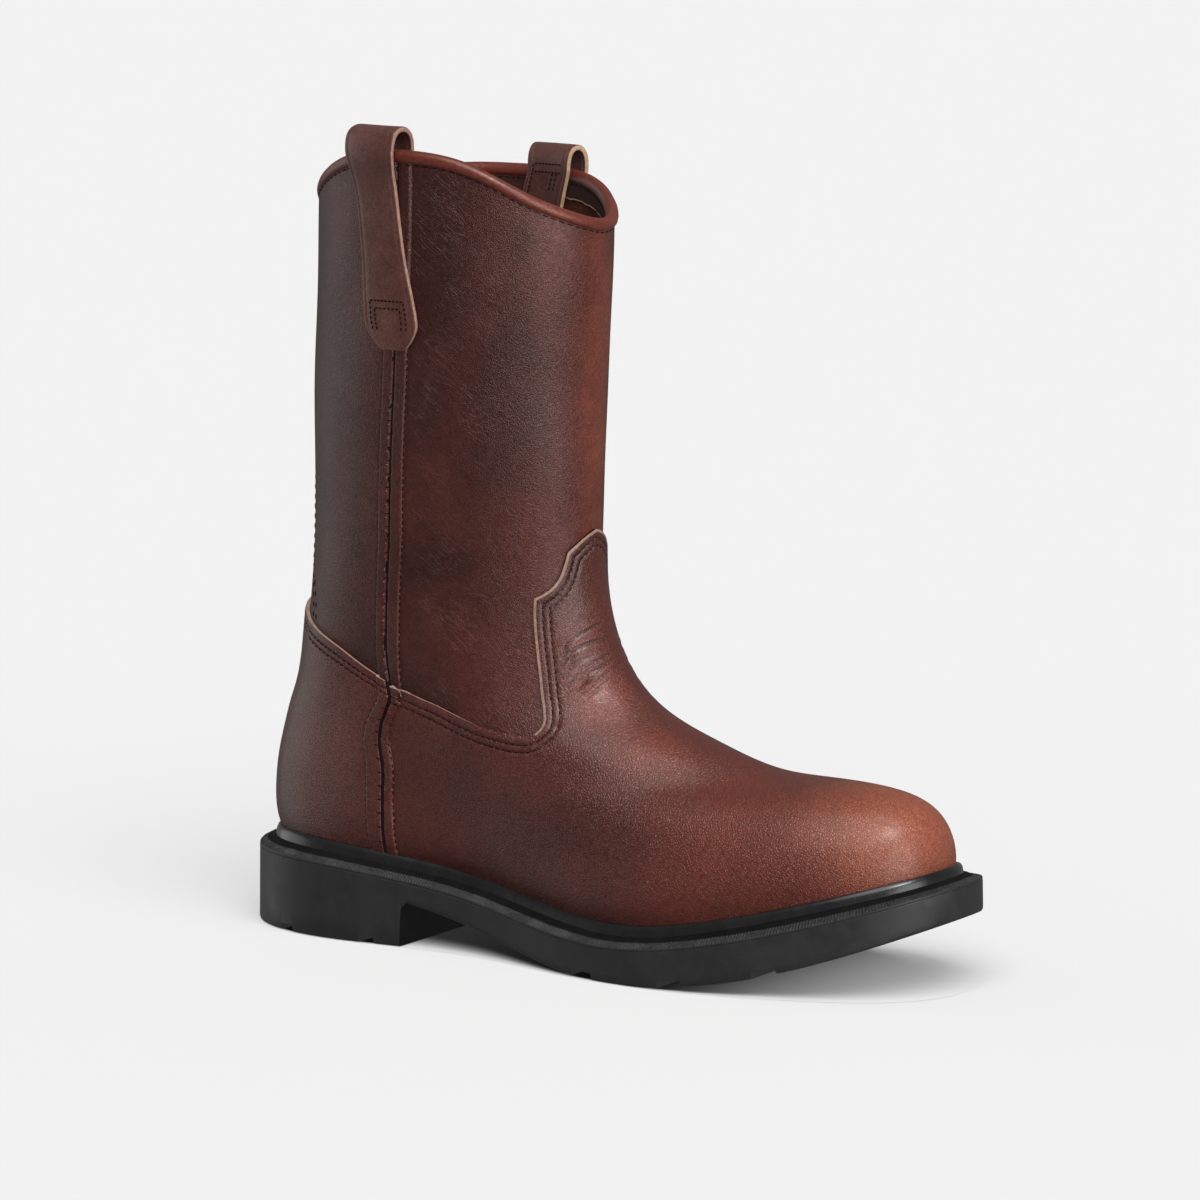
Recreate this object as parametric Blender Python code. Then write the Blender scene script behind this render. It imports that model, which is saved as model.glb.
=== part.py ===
"""Pull-on work boot for the right foot, built from the pieces a maker joins.

Units are metres. +X runs to the toe, +Y to the inner side of the foot, +Z up, and the floor is z = 0.
A place on the upper is named by two numbers. Its turn runs once round the boot: 0 at the back of the heel,
0.25 on the outer side, 0.5 at the toe and up the front, 0.75 on the inner side. Its level counts the
sections from the sole to the collar.
"""

from collections import namedtuple
import math

import bmesh
import bpy
import numpy as np

LAST_LENGTH = 0.288
BALL_WIDTH = 0.0845
SHAFT_HEIGHT = 0.310
HEEL_MARGIN = 0.0110
TOE_MARGIN = 0.0122

WALL = 0.0020
GAP = 0.0004
PANEL_GAP = 0.0005
PANEL = 0.0015
STRAP = 0.0023
INSOLE = 0.0045
SOLE_GAP = 0.0004

HEEL_BREAST = 0.0725
SOLE_FLARE = 0.0006
SOLE_CHAMFER = 0.0012
GROOVE_DEPTH = 0.0030
GROOVE_REACH = 0.0240

COLUMNS = 48
WELT_COLUMNS = 56
SOLE_STATIONS = 40

# The sole seen from the side. Along is a share of the last's length from the back of its heel.
# Bed is the line where the upper meets the welt, edge is the top of the outsole, and swing bends the last
# toward the inner side.
Side = namedtuple("Side", "along bed edge swing")
SIDE = (
    Side(-0.04, 0.0360, 0.0298, 0.0000),
    Side(0.10, 0.0358, 0.0292, 0.0000),
    Side(0.21, 0.0332, 0.0268, 0.0000),
    Side(0.34, 0.0286, 0.0221, -0.0010),
    Side(0.48, 0.0221, 0.0155, -0.0028),
    Side(0.61, 0.0195, 0.0130, -0.0018),
    Side(0.74, 0.0246, 0.0177, 0.0025),
    Side(0.87, 0.0340, 0.0266, 0.0055),
    Side(1.04, 0.0478, 0.0415, 0.0070),
)
# Underside of the forepart, from the heel's front face to the toe.
Tread = namedtuple("Tread", "along height")
TREAD = (
    Tread(0.25, 0.0182),
    Tread(0.34, 0.0130),
    Tread(0.45, 0.0054),
    Tread(0.52, 0.0018),
    Tread(0.60, 0.0000),
    Tread(0.69, 0.0012),
    Tread(0.80, 0.0068),
    Tread(0.91, 0.0162),
    Tread(1.04, 0.0302),
)

# Sections of the upper from the sole to the collar. Back and front are shares of the last's length,
# back_up and front_up of the shaft's height. Bed is how far a section follows the curve of the sole.
# The other columns are the fullness of the section in half ball widths, at six stations from back to front.
STATIONS = (0.0, 0.25, 0.42, 0.60, 0.78, 1.0)
Section = namedtuple("Section", "name back back_up front front_up bed heel_end heel waist ball toe toe_end")
SECTIONS = (
    Section("base", 0.002, 0.0964, 0.979, 0.1309, 1.00, 1.58, 1.00, 0.62, 0.98, 1.22, 1.62),
    Section("feather", -0.005, 0.1151, 0.988, 0.1515, 1.00, 1.60, 1.03, 0.66, 1.02, 1.27, 1.70),
    Section("side", -0.012, 0.1338, 0.987, 0.1692, 1.00, 1.60, 1.06, 0.74, 1.08, 1.30, 1.74),
    Section("toe wall", -0.015, 0.1722, 0.971, 0.2046, 0.90, 1.58, 1.05, 0.79, 1.03, 1.20, 1.50),
    Section("toe top", -0.010, 0.2096, 0.904, 0.2322, 0.75, 1.51, 1.03, 0.80, 0.93, 1.00, 1.10),
    Section("vamp", 0.002, 0.2538, 0.762, 0.2386, 0.55, 1.38, 1.00, 0.82, 0.84, 0.82, 0.84),
    Section("cone", 0.011, 0.2809, 0.654, 0.2681, 0.42, 1.30, 0.98, 0.83, 0.83, 0.80, 0.80),
    Section("instep", 0.022, 0.3080, 0.553, 0.3158, 0.30, 1.21, 0.97, 0.84, 0.82, 0.77, 0.75),
    Section("throat", 0.036, 0.3876, 0.478, 0.4349, 0.10, 1.10, 0.97, 0.88, 0.86, 0.84, 0.82),
    Section("ankle", 0.046, 0.4919, 0.471, 0.5460, 0.00, 1.05, 0.99, 0.96, 0.94, 0.94, 0.94),
    Section("calf", 0.048, 0.6503, 0.474, 0.6818, 0.00, 1.03, 1.03, 1.03, 1.03, 1.03, 1.03),
    Section("top", 0.053, 0.7940, 0.483, 0.8097, 0.00, 1.05, 1.05, 1.05, 1.05, 1.05, 1.05),
    Section("collar", 0.061, 0.9376, 0.483, 0.9219, 0.00, 1.07, 1.07, 1.07, 1.07, 1.07, 1.07),
)
TOP = len(SECTIONS) - 1
UPPER_LEVELS = (
    0, 1, 2, 3, 3.8, 4.4, 4.8, 5.1, 5.4, 5.7, 6, 6.35,
    6.7, 6.95, 7.2, 7.45, 7.7, 8, 8.3, 8.65, 9.1, 9.7, 10.7, TOP,
)

# The collar dips at the front and back and peaks at both sides.
Scallop = namedtuple("Scallop", "turn rise")
SCALLOP = (
    Scallop(-0.08, 0.0008),
    Scallop(0.00, -0.0021),
    Scallop(0.07, 0.0006),
    Scallop(0.13, 0.0094),
    Scallop(0.19, 0.0172),
    Scallop(0.26, 0.0200),
    Scallop(0.32, 0.0171),
    Scallop(0.39, 0.0060),
    Scallop(0.45, -0.0008),
    Scallop(0.50, -0.0040),
    Scallop(0.57, -0.0016),
    Scallop(0.64, 0.0062),
    Scallop(0.69, 0.0086),
    Scallop(0.76, 0.0083),
    Scallop(0.83, 0.0068),
    Scallop(0.92, 0.0008),
    Scallop(1.00, -0.0021),
    Scallop(1.07, 0.0006),
)

# The side seam runs from the welt to the pull strap. Half is half the width of its raised band.
Seam = namedtuple("Seam", "level turn half thick")
SEAM = (
    Seam(0.0, 0.1500, 0.0086, 0.0016),
    Seam(1.0, 0.1525, 0.0088, 0.0016),
    Seam(2.2, 0.1560, 0.0090, 0.0018),
    Seam(3.3, 0.1608, 0.0090, 0.0020),
    Seam(4.3, 0.1690, 0.0088, 0.0020),
    Seam(5.2, 0.1800, 0.0080, 0.0020),
    Seam(6.2, 0.1950, 0.0068, 0.0020),
    Seam(7.1, 0.2092, 0.0058, 0.0019),
    Seam(7.8, 0.2233, 0.0052, 0.0011),
    Seam(8.6, 0.2317, 0.0050, 0.0010),
    Seam(9.4, 0.2370, 0.0050, 0.0010),
    Seam(10.0, 0.2415, 0.0050, 0.0010),
    Seam(10.6, 0.2433, 0.0050, 0.0010),
)
SEAM_LEVELS = (
    0.03, 0.5, 1, 1.5, 2, 2.6, 3.2, 3.8, 4.4, 5, 5.5, 6,
    6.4, 6.8, 7.1, 7.35, 7.6, 7.9, 8.2, 8.5, 8.8, 9.2, 9.6, 10,
)
# The raised band across: a row for each point, from its back edge over the closed seam to its front edge.
Band = namedtuple("Band", "across height")
BAND = (Band(-1.0, 0.55), Band(-0.55, 1.0), Band(0.0, 0.45), Band(0.55, 1.0), Band(1.0, 0.55))

# Top line of the counter, which wraps the heel between the two side seams.
Line = namedtuple("Line", "turn level")
COUNTER_LINE = (
    Line(-0.0700, 8.14),
    Line(0.0, 8.26),
    Line(0.0700, 8.14),
    Line(0.1080, 7.965),
    Line(0.1300, 7.84),
    Line(0.1490, 7.735),
    Line(0.1650, 7.635),
    Line(0.1890, 7.45),
    Line(0.2080, 7.30),
    Line(0.2220, 7.20),
    Line(0.2400, 7.06),
)
COUNTER_COLUMNS = 22
COUNTER_ROWS = 11

# Top line of the vamp from the side seam to the front. Share runs from the seam band, 0, to the front, 1.
# Foot is the share where that column of the panel starts at the welt.
VampLine = namedtuple("VampLine", "name level share foot")
VAMP_LINE = (
    VampLine("seam", 7.03, 0.000, 0.00),
    VampLine("quarter back", 6.93, 0.107, 0.08),
    VampLine("quarter", 6.78, 0.177, 0.15),
    VampLine("quarter low", 6.61, 0.240, 0.21),
    VampLine("corner in", 6.34, 0.317, 0.28),
    VampLine("corner", 6.29, 0.353, 0.34),
    VampLine("corner out", 6.42, 0.398, 0.39),
    VampLine("tongue foot", 6.67, 0.443, 0.44),
    VampLine("tongue low", 7.00, 0.489, 0.49),
    VampLine("tongue side", 7.31, 0.524, 0.54),
    VampLine("tongue", 7.62, 0.548, 0.59),
    VampLine("tongue high", 7.83, 0.561, 0.63),
    VampLine("step corner", 8.08, 0.577, 0.67),
    VampLine("step", 8.21, 0.640, 0.72),
    VampLine("step in", 8.26, 0.698, 0.77),
    VampLine("step high", 8.38, 0.742, 0.82),
    VampLine("peak corner", 8.58, 0.761, 0.86),
    VampLine("peak side", 8.71, 0.858, 0.91),
    VampLine("peak", 8.80, 0.941, 0.96),
    VampLine("front", 8.83, 1.000, 1.00),
)
VAMP_LEVELS = (0, 1, 1.6, 2.1, 2.5, 2.9, 3.3, 3.7, 4.1, 4.5, 4.9, 5.4, 6.0, 6.6, 7.2, 7.8, 8.3, 8.83)

# Section of the welt outside the line where it lies against the upper. Share is the way from the upper to the
# outer edge, bed and edge weigh the two side lines, and lift is added to them.
Welt = namedtuple("Welt", "share bed edge lift")
WELT = (
    Welt(0.13, 1.0, 0.0, 0.0000),
    Welt(0.27, 1.0, 0.0, -0.0010),
    Welt(0.36, 1.0, 0.0, -0.0024),
    Welt(0.45, 1.0, 0.0, -0.0026),
    Welt(0.95, 0.0, 1.0, 0.0016),
    Welt(1.00, 0.0, 1.0, 0.0009),
    Welt(1.00, 0.0, 1.0, 0.0004),
)
WELT_FOOT = (0.0, 0.45, 0.85)

# Section of the collar binding, folded over the top edge of the shaft.
Fold = namedtuple("Fold", "out rise")
BINDING = (
    Fold(0.0004, -0.0044),
    Fold(0.0014, -0.0039),
    Fold(0.0014, -0.0006),
    Fold(-0.0010, 0.0014),
    Fold(-0.0034, -0.0006),
    Fold(-0.0035, -0.0039),
    Fold(-0.0024, -0.0044),
    Fold(-0.0024, 0.0005),
    Fold(0.0004, 0.0005),
)

# Path of a pull strap from its outer end, over the collar, to its inner end. Rise is measured from the top
# of the shaft's wall, out from its outer skin to the middle of the strap. The medial loop is narrower.
Strap = namedtuple("Strap", "rise out half")
STRAP_LEG = (
    Strap(-0.0745, 0.0018, 0.0052),
    Strap(-0.0715, 0.0018, 0.0084),
    Strap(-0.0670, 0.0018, 0.0113),
    Strap(-0.0645, 0.0018, 0.0119),
    Strap(-0.0600, 0.0018, 0.0118),
    Strap(-0.0513, 0.0018, 0.0110),
    Strap(-0.0430, 0.0018, 0.0102),
    Strap(-0.0350, 0.0018, 0.0098),
    Strap(-0.0250, 0.0018, 0.0097),
    Strap(-0.0160, 0.0020, 0.0099),
)
LATERAL_LOOP = (
    Strap(-0.0080, 0.0030, 0.0104),
    Strap(-0.0030, 0.0038, 0.0112),
    Strap(0.0034, 0.0037, 0.0118),
    Strap(0.0071, 0.0023, 0.0120),
    Strap(0.0089, -0.0006, 0.0120),
    Strap(0.0090, -0.0042, 0.0120),
    Strap(0.0073, -0.0076, 0.0119),
    Strap(0.0034, -0.0095, 0.0118),
    Strap(-0.0030, -0.0090, 0.0116),
    Strap(-0.0090, -0.0070, 0.0114),
    Strap(-0.0160, -0.0052, 0.0112),
    Strap(-0.0260, -0.0046, 0.0110),
    Strap(-0.0420, -0.0046, 0.0110),
)
MEDIAL_LOOP = (
    Strap(-0.0080, 0.0028, 0.0104),
    Strap(-0.0030, 0.0034, 0.0112),
    Strap(0.0034, 0.0034, 0.0118),
    Strap(0.0070, 0.0023, 0.0120),
    Strap(0.0089, 0.0003, 0.0120),
    Strap(0.0089, -0.0023, 0.0120),
    Strap(0.0070, -0.0044, 0.0119),
    Strap(0.0034, -0.0055, 0.0118),
    Strap(-0.0030, -0.0056, 0.0116),
    Strap(-0.0090, -0.0054, 0.0114),
    Strap(-0.0160, -0.0050, 0.0112),
    Strap(-0.0260, -0.0046, 0.0110),
    Strap(-0.0420, -0.0046, 0.0110),
)
STRAP_ACROSS = (-1.0, -0.5, 0.0, 0.5, 1.0)
# Where the middle of each strap sits along the boot: at its lower end, at its loop and at its inner end.
Lean = namedtuple("Lean", "side low high inner path")
LATERAL = Lean(-1, 0.0747, 0.0658, 0.0699, STRAP_LEG + LATERAL_LOOP)
MEDIAL = Lean(1, 0.0800, 0.0937, 0.0800, STRAP_LEG + MEDIAL_LOOP)

# Grooves that come in from the edges of the tread. Along is measured from the back of the heel.
Groove = namedtuple("Groove", "along width")
GROOVES = (
    Groove(0.0187, 0.0072),
    Groove(0.0578, 0.0072),
    Groove(0.1622, 0.0105),
    Groove(0.2018, 0.0108),
    Groove(0.2386, 0.0100),
)

Colour = namedtuple("Colour", "name rgb roughness")
SHAFT_LEATHER = Colour("shaft_leather", (0.075, 0.032, 0.026), 0.50)
VAMP_LEATHER = Colour("vamp_leather", (0.130, 0.046, 0.026), 0.45)
STRAP_LEATHER = Colour("strap_leather", (0.085, 0.038, 0.031), 0.52)
SOLE_RUBBER = Colour("sole_rubber", (0.017, 0.017, 0.018), 0.55)
INSOLE_BOARD = Colour("insole_board", (0.36, 0.22, 0.12), 0.80)


def spline(knots, values, at):
    """Natural cubic spline through values at knots, read at the places in at."""
    knots = np.asarray(knots, float)
    values = np.asarray(values, float)
    at = np.asarray(at, float)
    count = len(knots)
    step = np.diff(knots)
    matrix = np.eye(count)
    right = np.zeros(count)
    for i in range(1, count - 1):
        matrix[i, i - 1 : i + 2] = step[i - 1], 2 * (step[i - 1] + step[i]), step[i]
        right[i] = 6 * ((values[i + 1] - values[i]) / step[i] - (values[i] - values[i - 1]) / step[i - 1])
    bend = np.linalg.solve(matrix, right)
    i = np.clip(np.searchsorted(knots, at, side="right") - 1, 0, count - 2)
    a = (knots[i + 1] - at) / step[i]
    b = 1 - a
    curve = ((a**3 - a) * bend[i] + (b**3 - b) * bend[i + 1]) * step[i] ** 2 / 6
    return a * values[i] + b * values[i + 1] + curve


def side_line(column, x):
    """One column of the SIDE table at places x along the boot."""
    return spline([row.along * LAST_LENGTH for row in SIDE], [getattr(row, column) for row in SIDE], x)


def tread_height(x):
    """Underside of the forepart, with a flat spot where it meets the floor."""
    height = spline([row.along * LAST_LENGTH for row in TREAD], [row.height for row in TREAD], x)
    return np.maximum(height - 0.0003, 0.0)


def section_loop(section, turn):
    """Points of one section at an array of turns."""
    half_turn = 1 - np.abs(1 - 2 * turn)
    side = np.where(turn < 0.5, -1.0, 1.0)
    share = (1 - np.cos(math.pi * half_turn)) / 2
    back = section.back * LAST_LENGTH
    front = section.front * LAST_LENGTH
    x = back + (front - back) * share
    fullness = spline(STATIONS, section[6:], half_turn) * BALL_WIDTH / 2
    y = side * fullness * np.sin(math.pi * half_turn) + section.bed * side_line("swing", x)
    z = SHAFT_HEIGHT * (section.back_up + (section.front_up - section.back_up) * share)
    bed_back, bed_front = side_line("bed", np.array([back, front]))
    z = z + section.bed * (side_line("bed", x) - bed_back - (bed_front - bed_back) * share)
    if section.name == "base":
        z = side_line("edge", x) + SOLE_GAP + 0.0002
    if section.name == "feather":
        z = side_line("bed", x)
    if section.name == "collar":
        z = z + spline([row.turn for row in SCALLOP], [row.rise for row in SCALLOP], turn)
    return np.stack([x, y, z], axis=-1)


def skin(turn, level):
    """Points of the upper's outer skin: a natural spline up each meridian through the sections."""
    turn, level = np.broadcast_arrays(np.asarray(turn, float), np.asarray(level, float))
    shape = turn.shape
    turn = turn.ravel() % 1.0
    level = level.ravel()
    net = np.stack([section_loop(section, turn) for section in SECTIONS], axis=1)
    step = np.linalg.norm(np.diff(net, axis=1), axis=2)
    slope = np.diff(net, axis=1) / step[..., None]
    matrix = np.zeros((len(turn), TOP + 1, TOP + 1))
    right = np.zeros_like(net)
    matrix[:, 0, 0] = 1
    matrix[:, TOP, TOP] = 1
    for i in range(1, TOP):
        matrix[:, i, i - 1] = step[:, i - 1]
        matrix[:, i, i] = 2 * (step[:, i - 1] + step[:, i])
        matrix[:, i, i + 1] = step[:, i]
        right[:, i] = 6 * (slope[:, i] - slope[:, i - 1])
    bend = np.linalg.solve(matrix, right)
    i = np.clip(level.astype(int), 0, TOP - 1)
    n = np.arange(len(turn))
    b = (level - i)[:, None]
    a = 1 - b
    length = step[n, i][:, None]
    curve = ((a**3 - a) * bend[n, i] + (b**3 - b) * bend[n, i + 1]) * length**2 / 6
    return (a * net[n, i] + b * net[n, i + 1] + curve).reshape(shape + (3,))


def along_turn(turn, level):
    """How the skin moves per turn."""
    return (skin(np.asarray(turn) + 5e-4, level) - skin(np.asarray(turn) - 5e-4, level)) / 1e-3


def normal(turn, level):
    """Outward unit normals of the skin."""
    level = np.asarray(level, float)
    rise = skin(turn, np.minimum(level + 0.01, TOP)) - skin(turn, np.maximum(level - 0.01, 0))
    out = np.cross(along_turn(turn, level), rise)
    return out / np.linalg.norm(out, axis=-1, keepdims=True)


def offset(turn, level, distance):
    """The skin moved outward by a distance."""
    return skin(turn, level) + normal(turn, level) * np.asarray(distance)[..., None]


def shaft_level(turn, height):
    """The level at which the shaft reaches a height."""
    levels = np.linspace(9, TOP, 40)
    heights = skin(np.full(40, turn), levels)[:, 2]
    return float(np.interp(height, heights, levels))


def shaft_point(turn, height, out):
    """A point beside the shaft, or above its collar, at a distance out from its skin."""
    level = shaft_level(turn, height)
    level_out = normal(turn, level) * np.array([1, 1, 0])
    level_out = level_out / np.linalg.norm(level_out)
    point = skin(turn, level) + level_out * out
    return np.array([point[0], point[1], height])


def turn_at(side, x, height):
    """The turn at which the shaft's side is x along the boot."""
    turns = np.linspace(0.10, 0.40, 61)
    if side > 0:
        turns = 1 - turns
    level = shaft_level(float(turns[30]), height)
    return float(np.interp(x, skin(turns, level)[:, 0], turns))


def seam_value(column, level):
    """One column of the SEAM table at an array of levels."""
    return spline([row.level for row in SEAM], [getattr(row, column) for row in SEAM], level)


def band_edge(level, front):
    """Turn of the lateral seam band's back or front edge, with a gap for the panel beside it."""
    middle = seam_value("turn", level)
    speed = np.linalg.norm(along_turn(middle, level), axis=-1)
    reach = (seam_value("half", level) + 1.5 * GAP) / speed
    return middle + reach if front else middle - reach


def sole_outline(turn):
    """Plan of the sole: the line where the upper meets the welt, moved out by the welt's width."""
    turn = np.asarray(turn, float)
    feather = section_loop(SECTIONS[1], turn % 1.0)
    ahead = section_loop(SECTIONS[1], (turn + 1e-4) % 1.0)
    behind = section_loop(SECTIONS[1], (turn - 1e-4) % 1.0)
    tangent = (ahead - behind)[:, :2]
    tangent = tangent / np.linalg.norm(tangent, axis=1, keepdims=True)
    out = np.stack([tangent[:, 1], -tangent[:, 0]], axis=1)
    share = np.clip(feather[:, 0] / LAST_LENGTH, 0, 1)
    margin = HEEL_MARGIN + (TOE_MARGIN - HEEL_MARGIN) * share
    return feather[:, :2] + out * margin[:, None]


def outline_middle():
    """Centre of the sole's plan, which becomes the part's origin."""
    plan = sole_outline(np.arange(0, 1, 1 / 720))
    return (plan.min(axis=0) + plan.max(axis=0)) / 2


ORIGIN = outline_middle()


def material(colour):
    """The Principled material of a colour, made once."""
    made = bpy.data.materials.get(colour.name)
    if made is None:
        made = bpy.data.materials.new(colour.name)
        made.use_nodes = True
        shader = made.node_tree.nodes["Principled BSDF"]
        shader.inputs["Base Color"].default_value = (*colour.rgb, 1.0)
        shader.inputs["Roughness"].default_value = colour.roughness
    return made


def add_object(name, points, faces, colour, collection):
    """A mesh object about the part's origin, with doubled points merged and faces turned outward."""
    points = np.asarray(points) - np.array([ORIGIN[0], ORIGIN[1], 0.0])
    mesh = bpy.data.meshes.new(name)
    mesh.from_pydata([tuple(point) for point in points], [], faces)
    work = bmesh.new()
    work.from_mesh(mesh)
    bmesh.ops.remove_doubles(work, verts=work.verts, dist=1e-6)
    bmesh.ops.recalc_face_normals(work, faces=work.faces)
    work.to_mesh(mesh)
    work.free()
    if colour:
        mesh.materials.append(material(colour))
    made = bpy.data.objects.new(name, mesh)
    collection.objects.link(made)
    return made


def grid_faces(rows, columns, start, ring_rows, ring_columns):
    """Quads of a grid of points, closed round in either direction when asked."""
    faces = []
    for r in range(rows if ring_rows else rows - 1):
        for c in range(columns if ring_columns else columns - 1):
            r2 = (r + 1) % rows
            c2 = (c + 1) % columns
            here = start + r * columns
            above = start + r2 * columns
            faces.append((here + c, here + c2, above + c2, above + c))
    return faces


def shell(outer, inner, ring):
    """Points and faces of a closed wall between two grids, with rims along their open edges."""
    rows, columns = outer.shape[:2]
    size = rows * columns
    points = np.concatenate([outer.reshape(-1, 3), inner.reshape(-1, 3)])
    faces = grid_faces(rows, columns, 0, False, ring) + grid_faces(rows, columns, size, False, ring)
    last = (rows - 1) * columns
    for c in range(columns if ring else columns - 1):
        c2 = (c + 1) % columns
        faces.append((c, c2, size + c2, size + c))
        faces.append((last + c, last + c2, size + last + c2, size + last + c))
    if not ring:
        for r in range(rows - 1):
            for edge in (0, columns - 1):
                here = r * columns + edge
                above = here + columns
                faces.append((here, above, size + above, size + here))
    return points, faces


def loft(rings, capped):
    """Points and faces through a list of rings, with or without end caps."""
    rings = np.asarray(rings)
    rows, columns = rings.shape[:2]
    faces = grid_faces(rows, columns, 0, False, True)
    if capped:
        faces.append(tuple(range(columns)))
        faces.append(tuple(range((rows - 1) * columns, rows * columns)))
    return rings.reshape(-1, 3), faces


def make_upper(parts):
    """Shaft and lasted foot as one hollow wall, open at the collar and underneath."""
    turns, levels = np.meshgrid(np.arange(COLUMNS) / COLUMNS, UPPER_LEVELS)
    outer = skin(turns, levels)
    inner = offset(turns, levels, np.full(turns.shape, -WALL))
    inner[0, :, 2] = outer[0, :, 2]
    return add_object("upper", *shell(outer, inner, True), SHAFT_LEATHER, parts)


def panel(turns, levels):
    """Inner and outer faces of a leather panel laid on the upper."""
    outer = offset(turns, levels, np.full(turns.shape, PANEL_GAP + PANEL))
    inner = offset(turns, levels, np.full(turns.shape, PANEL_GAP))
    outer[0, :, 2] = inner[0, :, 2] = skin(turns[0], levels[0])[:, 2]
    return outer, inner


def make_counter(parts):
    """Panel wrapped round the heel from one side seam to the other."""
    line_turns = [row.turn for row in COUNTER_LINE]
    line_levels = [row.level for row in COUNTER_LINE]
    shares = np.linspace(-1, 1, COUNTER_COLUMNS + 1)
    top = np.full(len(shares), 7.5)
    for _ in range(12):
        top = spline(line_turns, line_levels, np.abs(shares) * band_edge(top, False))
    levels = np.linspace(0, 1, COUNTER_ROWS)[:, None] * top
    turns = shares * band_edge(levels, False)
    return add_object("counter", *shell(*panel(turns, levels), False), SHAFT_LEATHER, parts)


def make_vamp(parts):
    """Panel over the toe and instep, from one side seam round to the other, with its tongue up the front."""
    top = np.array([row.level for row in VAMP_LINE])
    share = np.array([row.share for row in VAMP_LINE])
    foot = np.array([row.foot for row in VAMP_LINE])
    climb = np.array(VAMP_LEVELS)[:, None] / VAMP_LEVELS[-1]
    levels = climb * top
    shares = foot + (share - foot) * climb**1.5
    edge = band_edge(levels, True)
    turns = edge + shares * (0.5 - edge)
    turns = np.concatenate([turns, 1 - turns[:, -2::-1]], axis=1)
    levels = np.concatenate([levels, levels[:, -2::-1]], axis=1)
    return add_object("vamp", *shell(*panel(turns, levels), False), VAMP_LEATHER, parts)


def strap_top(lean):
    """Height of the shaft's wall under a pull strap's loop."""
    return float(skin(turn_at(lean.side, lean.high, 0.290), TOP)[2])


def make_side_seam(name, lean, parts):
    """Raised band of a closed side seam, from the welt up to the pull strap."""
    end = shaft_level(0.25 if lean.side < 0 else 0.75, strap_top(lean) + lean.path[0].rise - 2 * GAP)
    rings = []
    for level in (*SEAM_LEVELS, (SEAM_LEVELS[-1] + end) / 2, end):
        middle = float(seam_value("turn", level))
        speed = float(np.linalg.norm(along_turn(middle, level)))
        half = float(seam_value("half", level))
        thick = float(seam_value("thick", level))
        turns = np.array([middle + row.across * half / speed for row in BAND])
        if lean.side > 0:
            turns = 1 - turns
        over = offset(turns, level, np.array([GAP + thick * row.height for row in BAND]))
        under = offset(turns[::-2], level, np.full(len(BAND[::2]), GAP))
        rings.append(np.concatenate([over, under]))
    return add_object(name, *loft(rings, True), SHAFT_LEATHER, parts)


def make_binding(parts):
    """Strip folded over the collar, stitched just below."""
    rings = []
    for turn in np.arange(COLUMNS) / COLUMNS:
        wall_top = skin(turn, TOP)[2]
        rings.append([shaft_point(turn, wall_top + row.rise, row.out) for row in BINDING])
    rings = np.array(rings)
    faces = grid_faces(len(rings), len(BINDING), 0, True, True)
    return add_object("collar_binding", rings.reshape(-1, 3), faces, VAMP_LEATHER, parts)


def make_strap(name, lean, parts):
    """Pull strap sewn outside and inside the shaft, with a loop over the collar."""
    wall_top = strap_top(lean)
    rings = []
    for k, row in enumerate(lean.path):
        height = wall_top + row.rise
        end, end_x = (lean.path[0], lean.low) if row.out > 0 else (lean.path[-1], lean.inner)
        drop = min(max(row.rise / end.rise, 0.0), 1.0)
        x = lean.high + (end_x - lean.high) * drop
        reached = min(height, wall_top)
        middle = turn_at(lean.side, x, reached)
        speed = float(np.linalg.norm(along_turn(middle, shaft_level(middle, reached))))
        before = lean.path[max(k - 1, 0)]
        after = lean.path[min(k + 1, len(lean.path) - 1)]
        run = math.hypot(after.rise - before.rise, after.out - before.out)
        face_out = (after.rise - before.rise) / run
        face_up = -(after.out - before.out) / run
        faces = []
        for across in STRAP_ACROSS:
            turn = middle + across * row.half / speed
            outside = shaft_point(turn, height + face_up * STRAP / 2, row.out + face_out * STRAP / 2)
            inside = shaft_point(turn, height - face_up * STRAP / 2, row.out - face_out * STRAP / 2)
            faces.append((outside, inside))
        rings.append([pair[0] for pair in faces] + [pair[1] for pair in faces[::-1]])
    return add_object(name, *loft(rings, True), STRAP_LEATHER, parts)


def make_insole(parts):
    """Board that closes the bottom of the upper, inside its wall."""
    turns = np.arange(1, COLUMNS // 2) / COLUMNS
    inset = -(WALL + 2 * GAP)
    rings = []
    for turn in turns:
        pair = np.array([turn, 1 - turn])
        low = offset(pair, np.array([0.0, 0.0]), np.full(2, inset))
        high = offset(pair, np.array([0.75, 0.75]), np.full(2, inset))
        low[:, 2] = side_line("edge", low[:, 0]) + SOLE_GAP
        high[:, 2] = side_line("edge", high[:, 0]) + SOLE_GAP + INSOLE
        rings.append([low[0], low[1], high[1], high[0]])
    return add_object("insole", *loft(rings, True), INSOLE_BOARD, parts)


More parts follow.
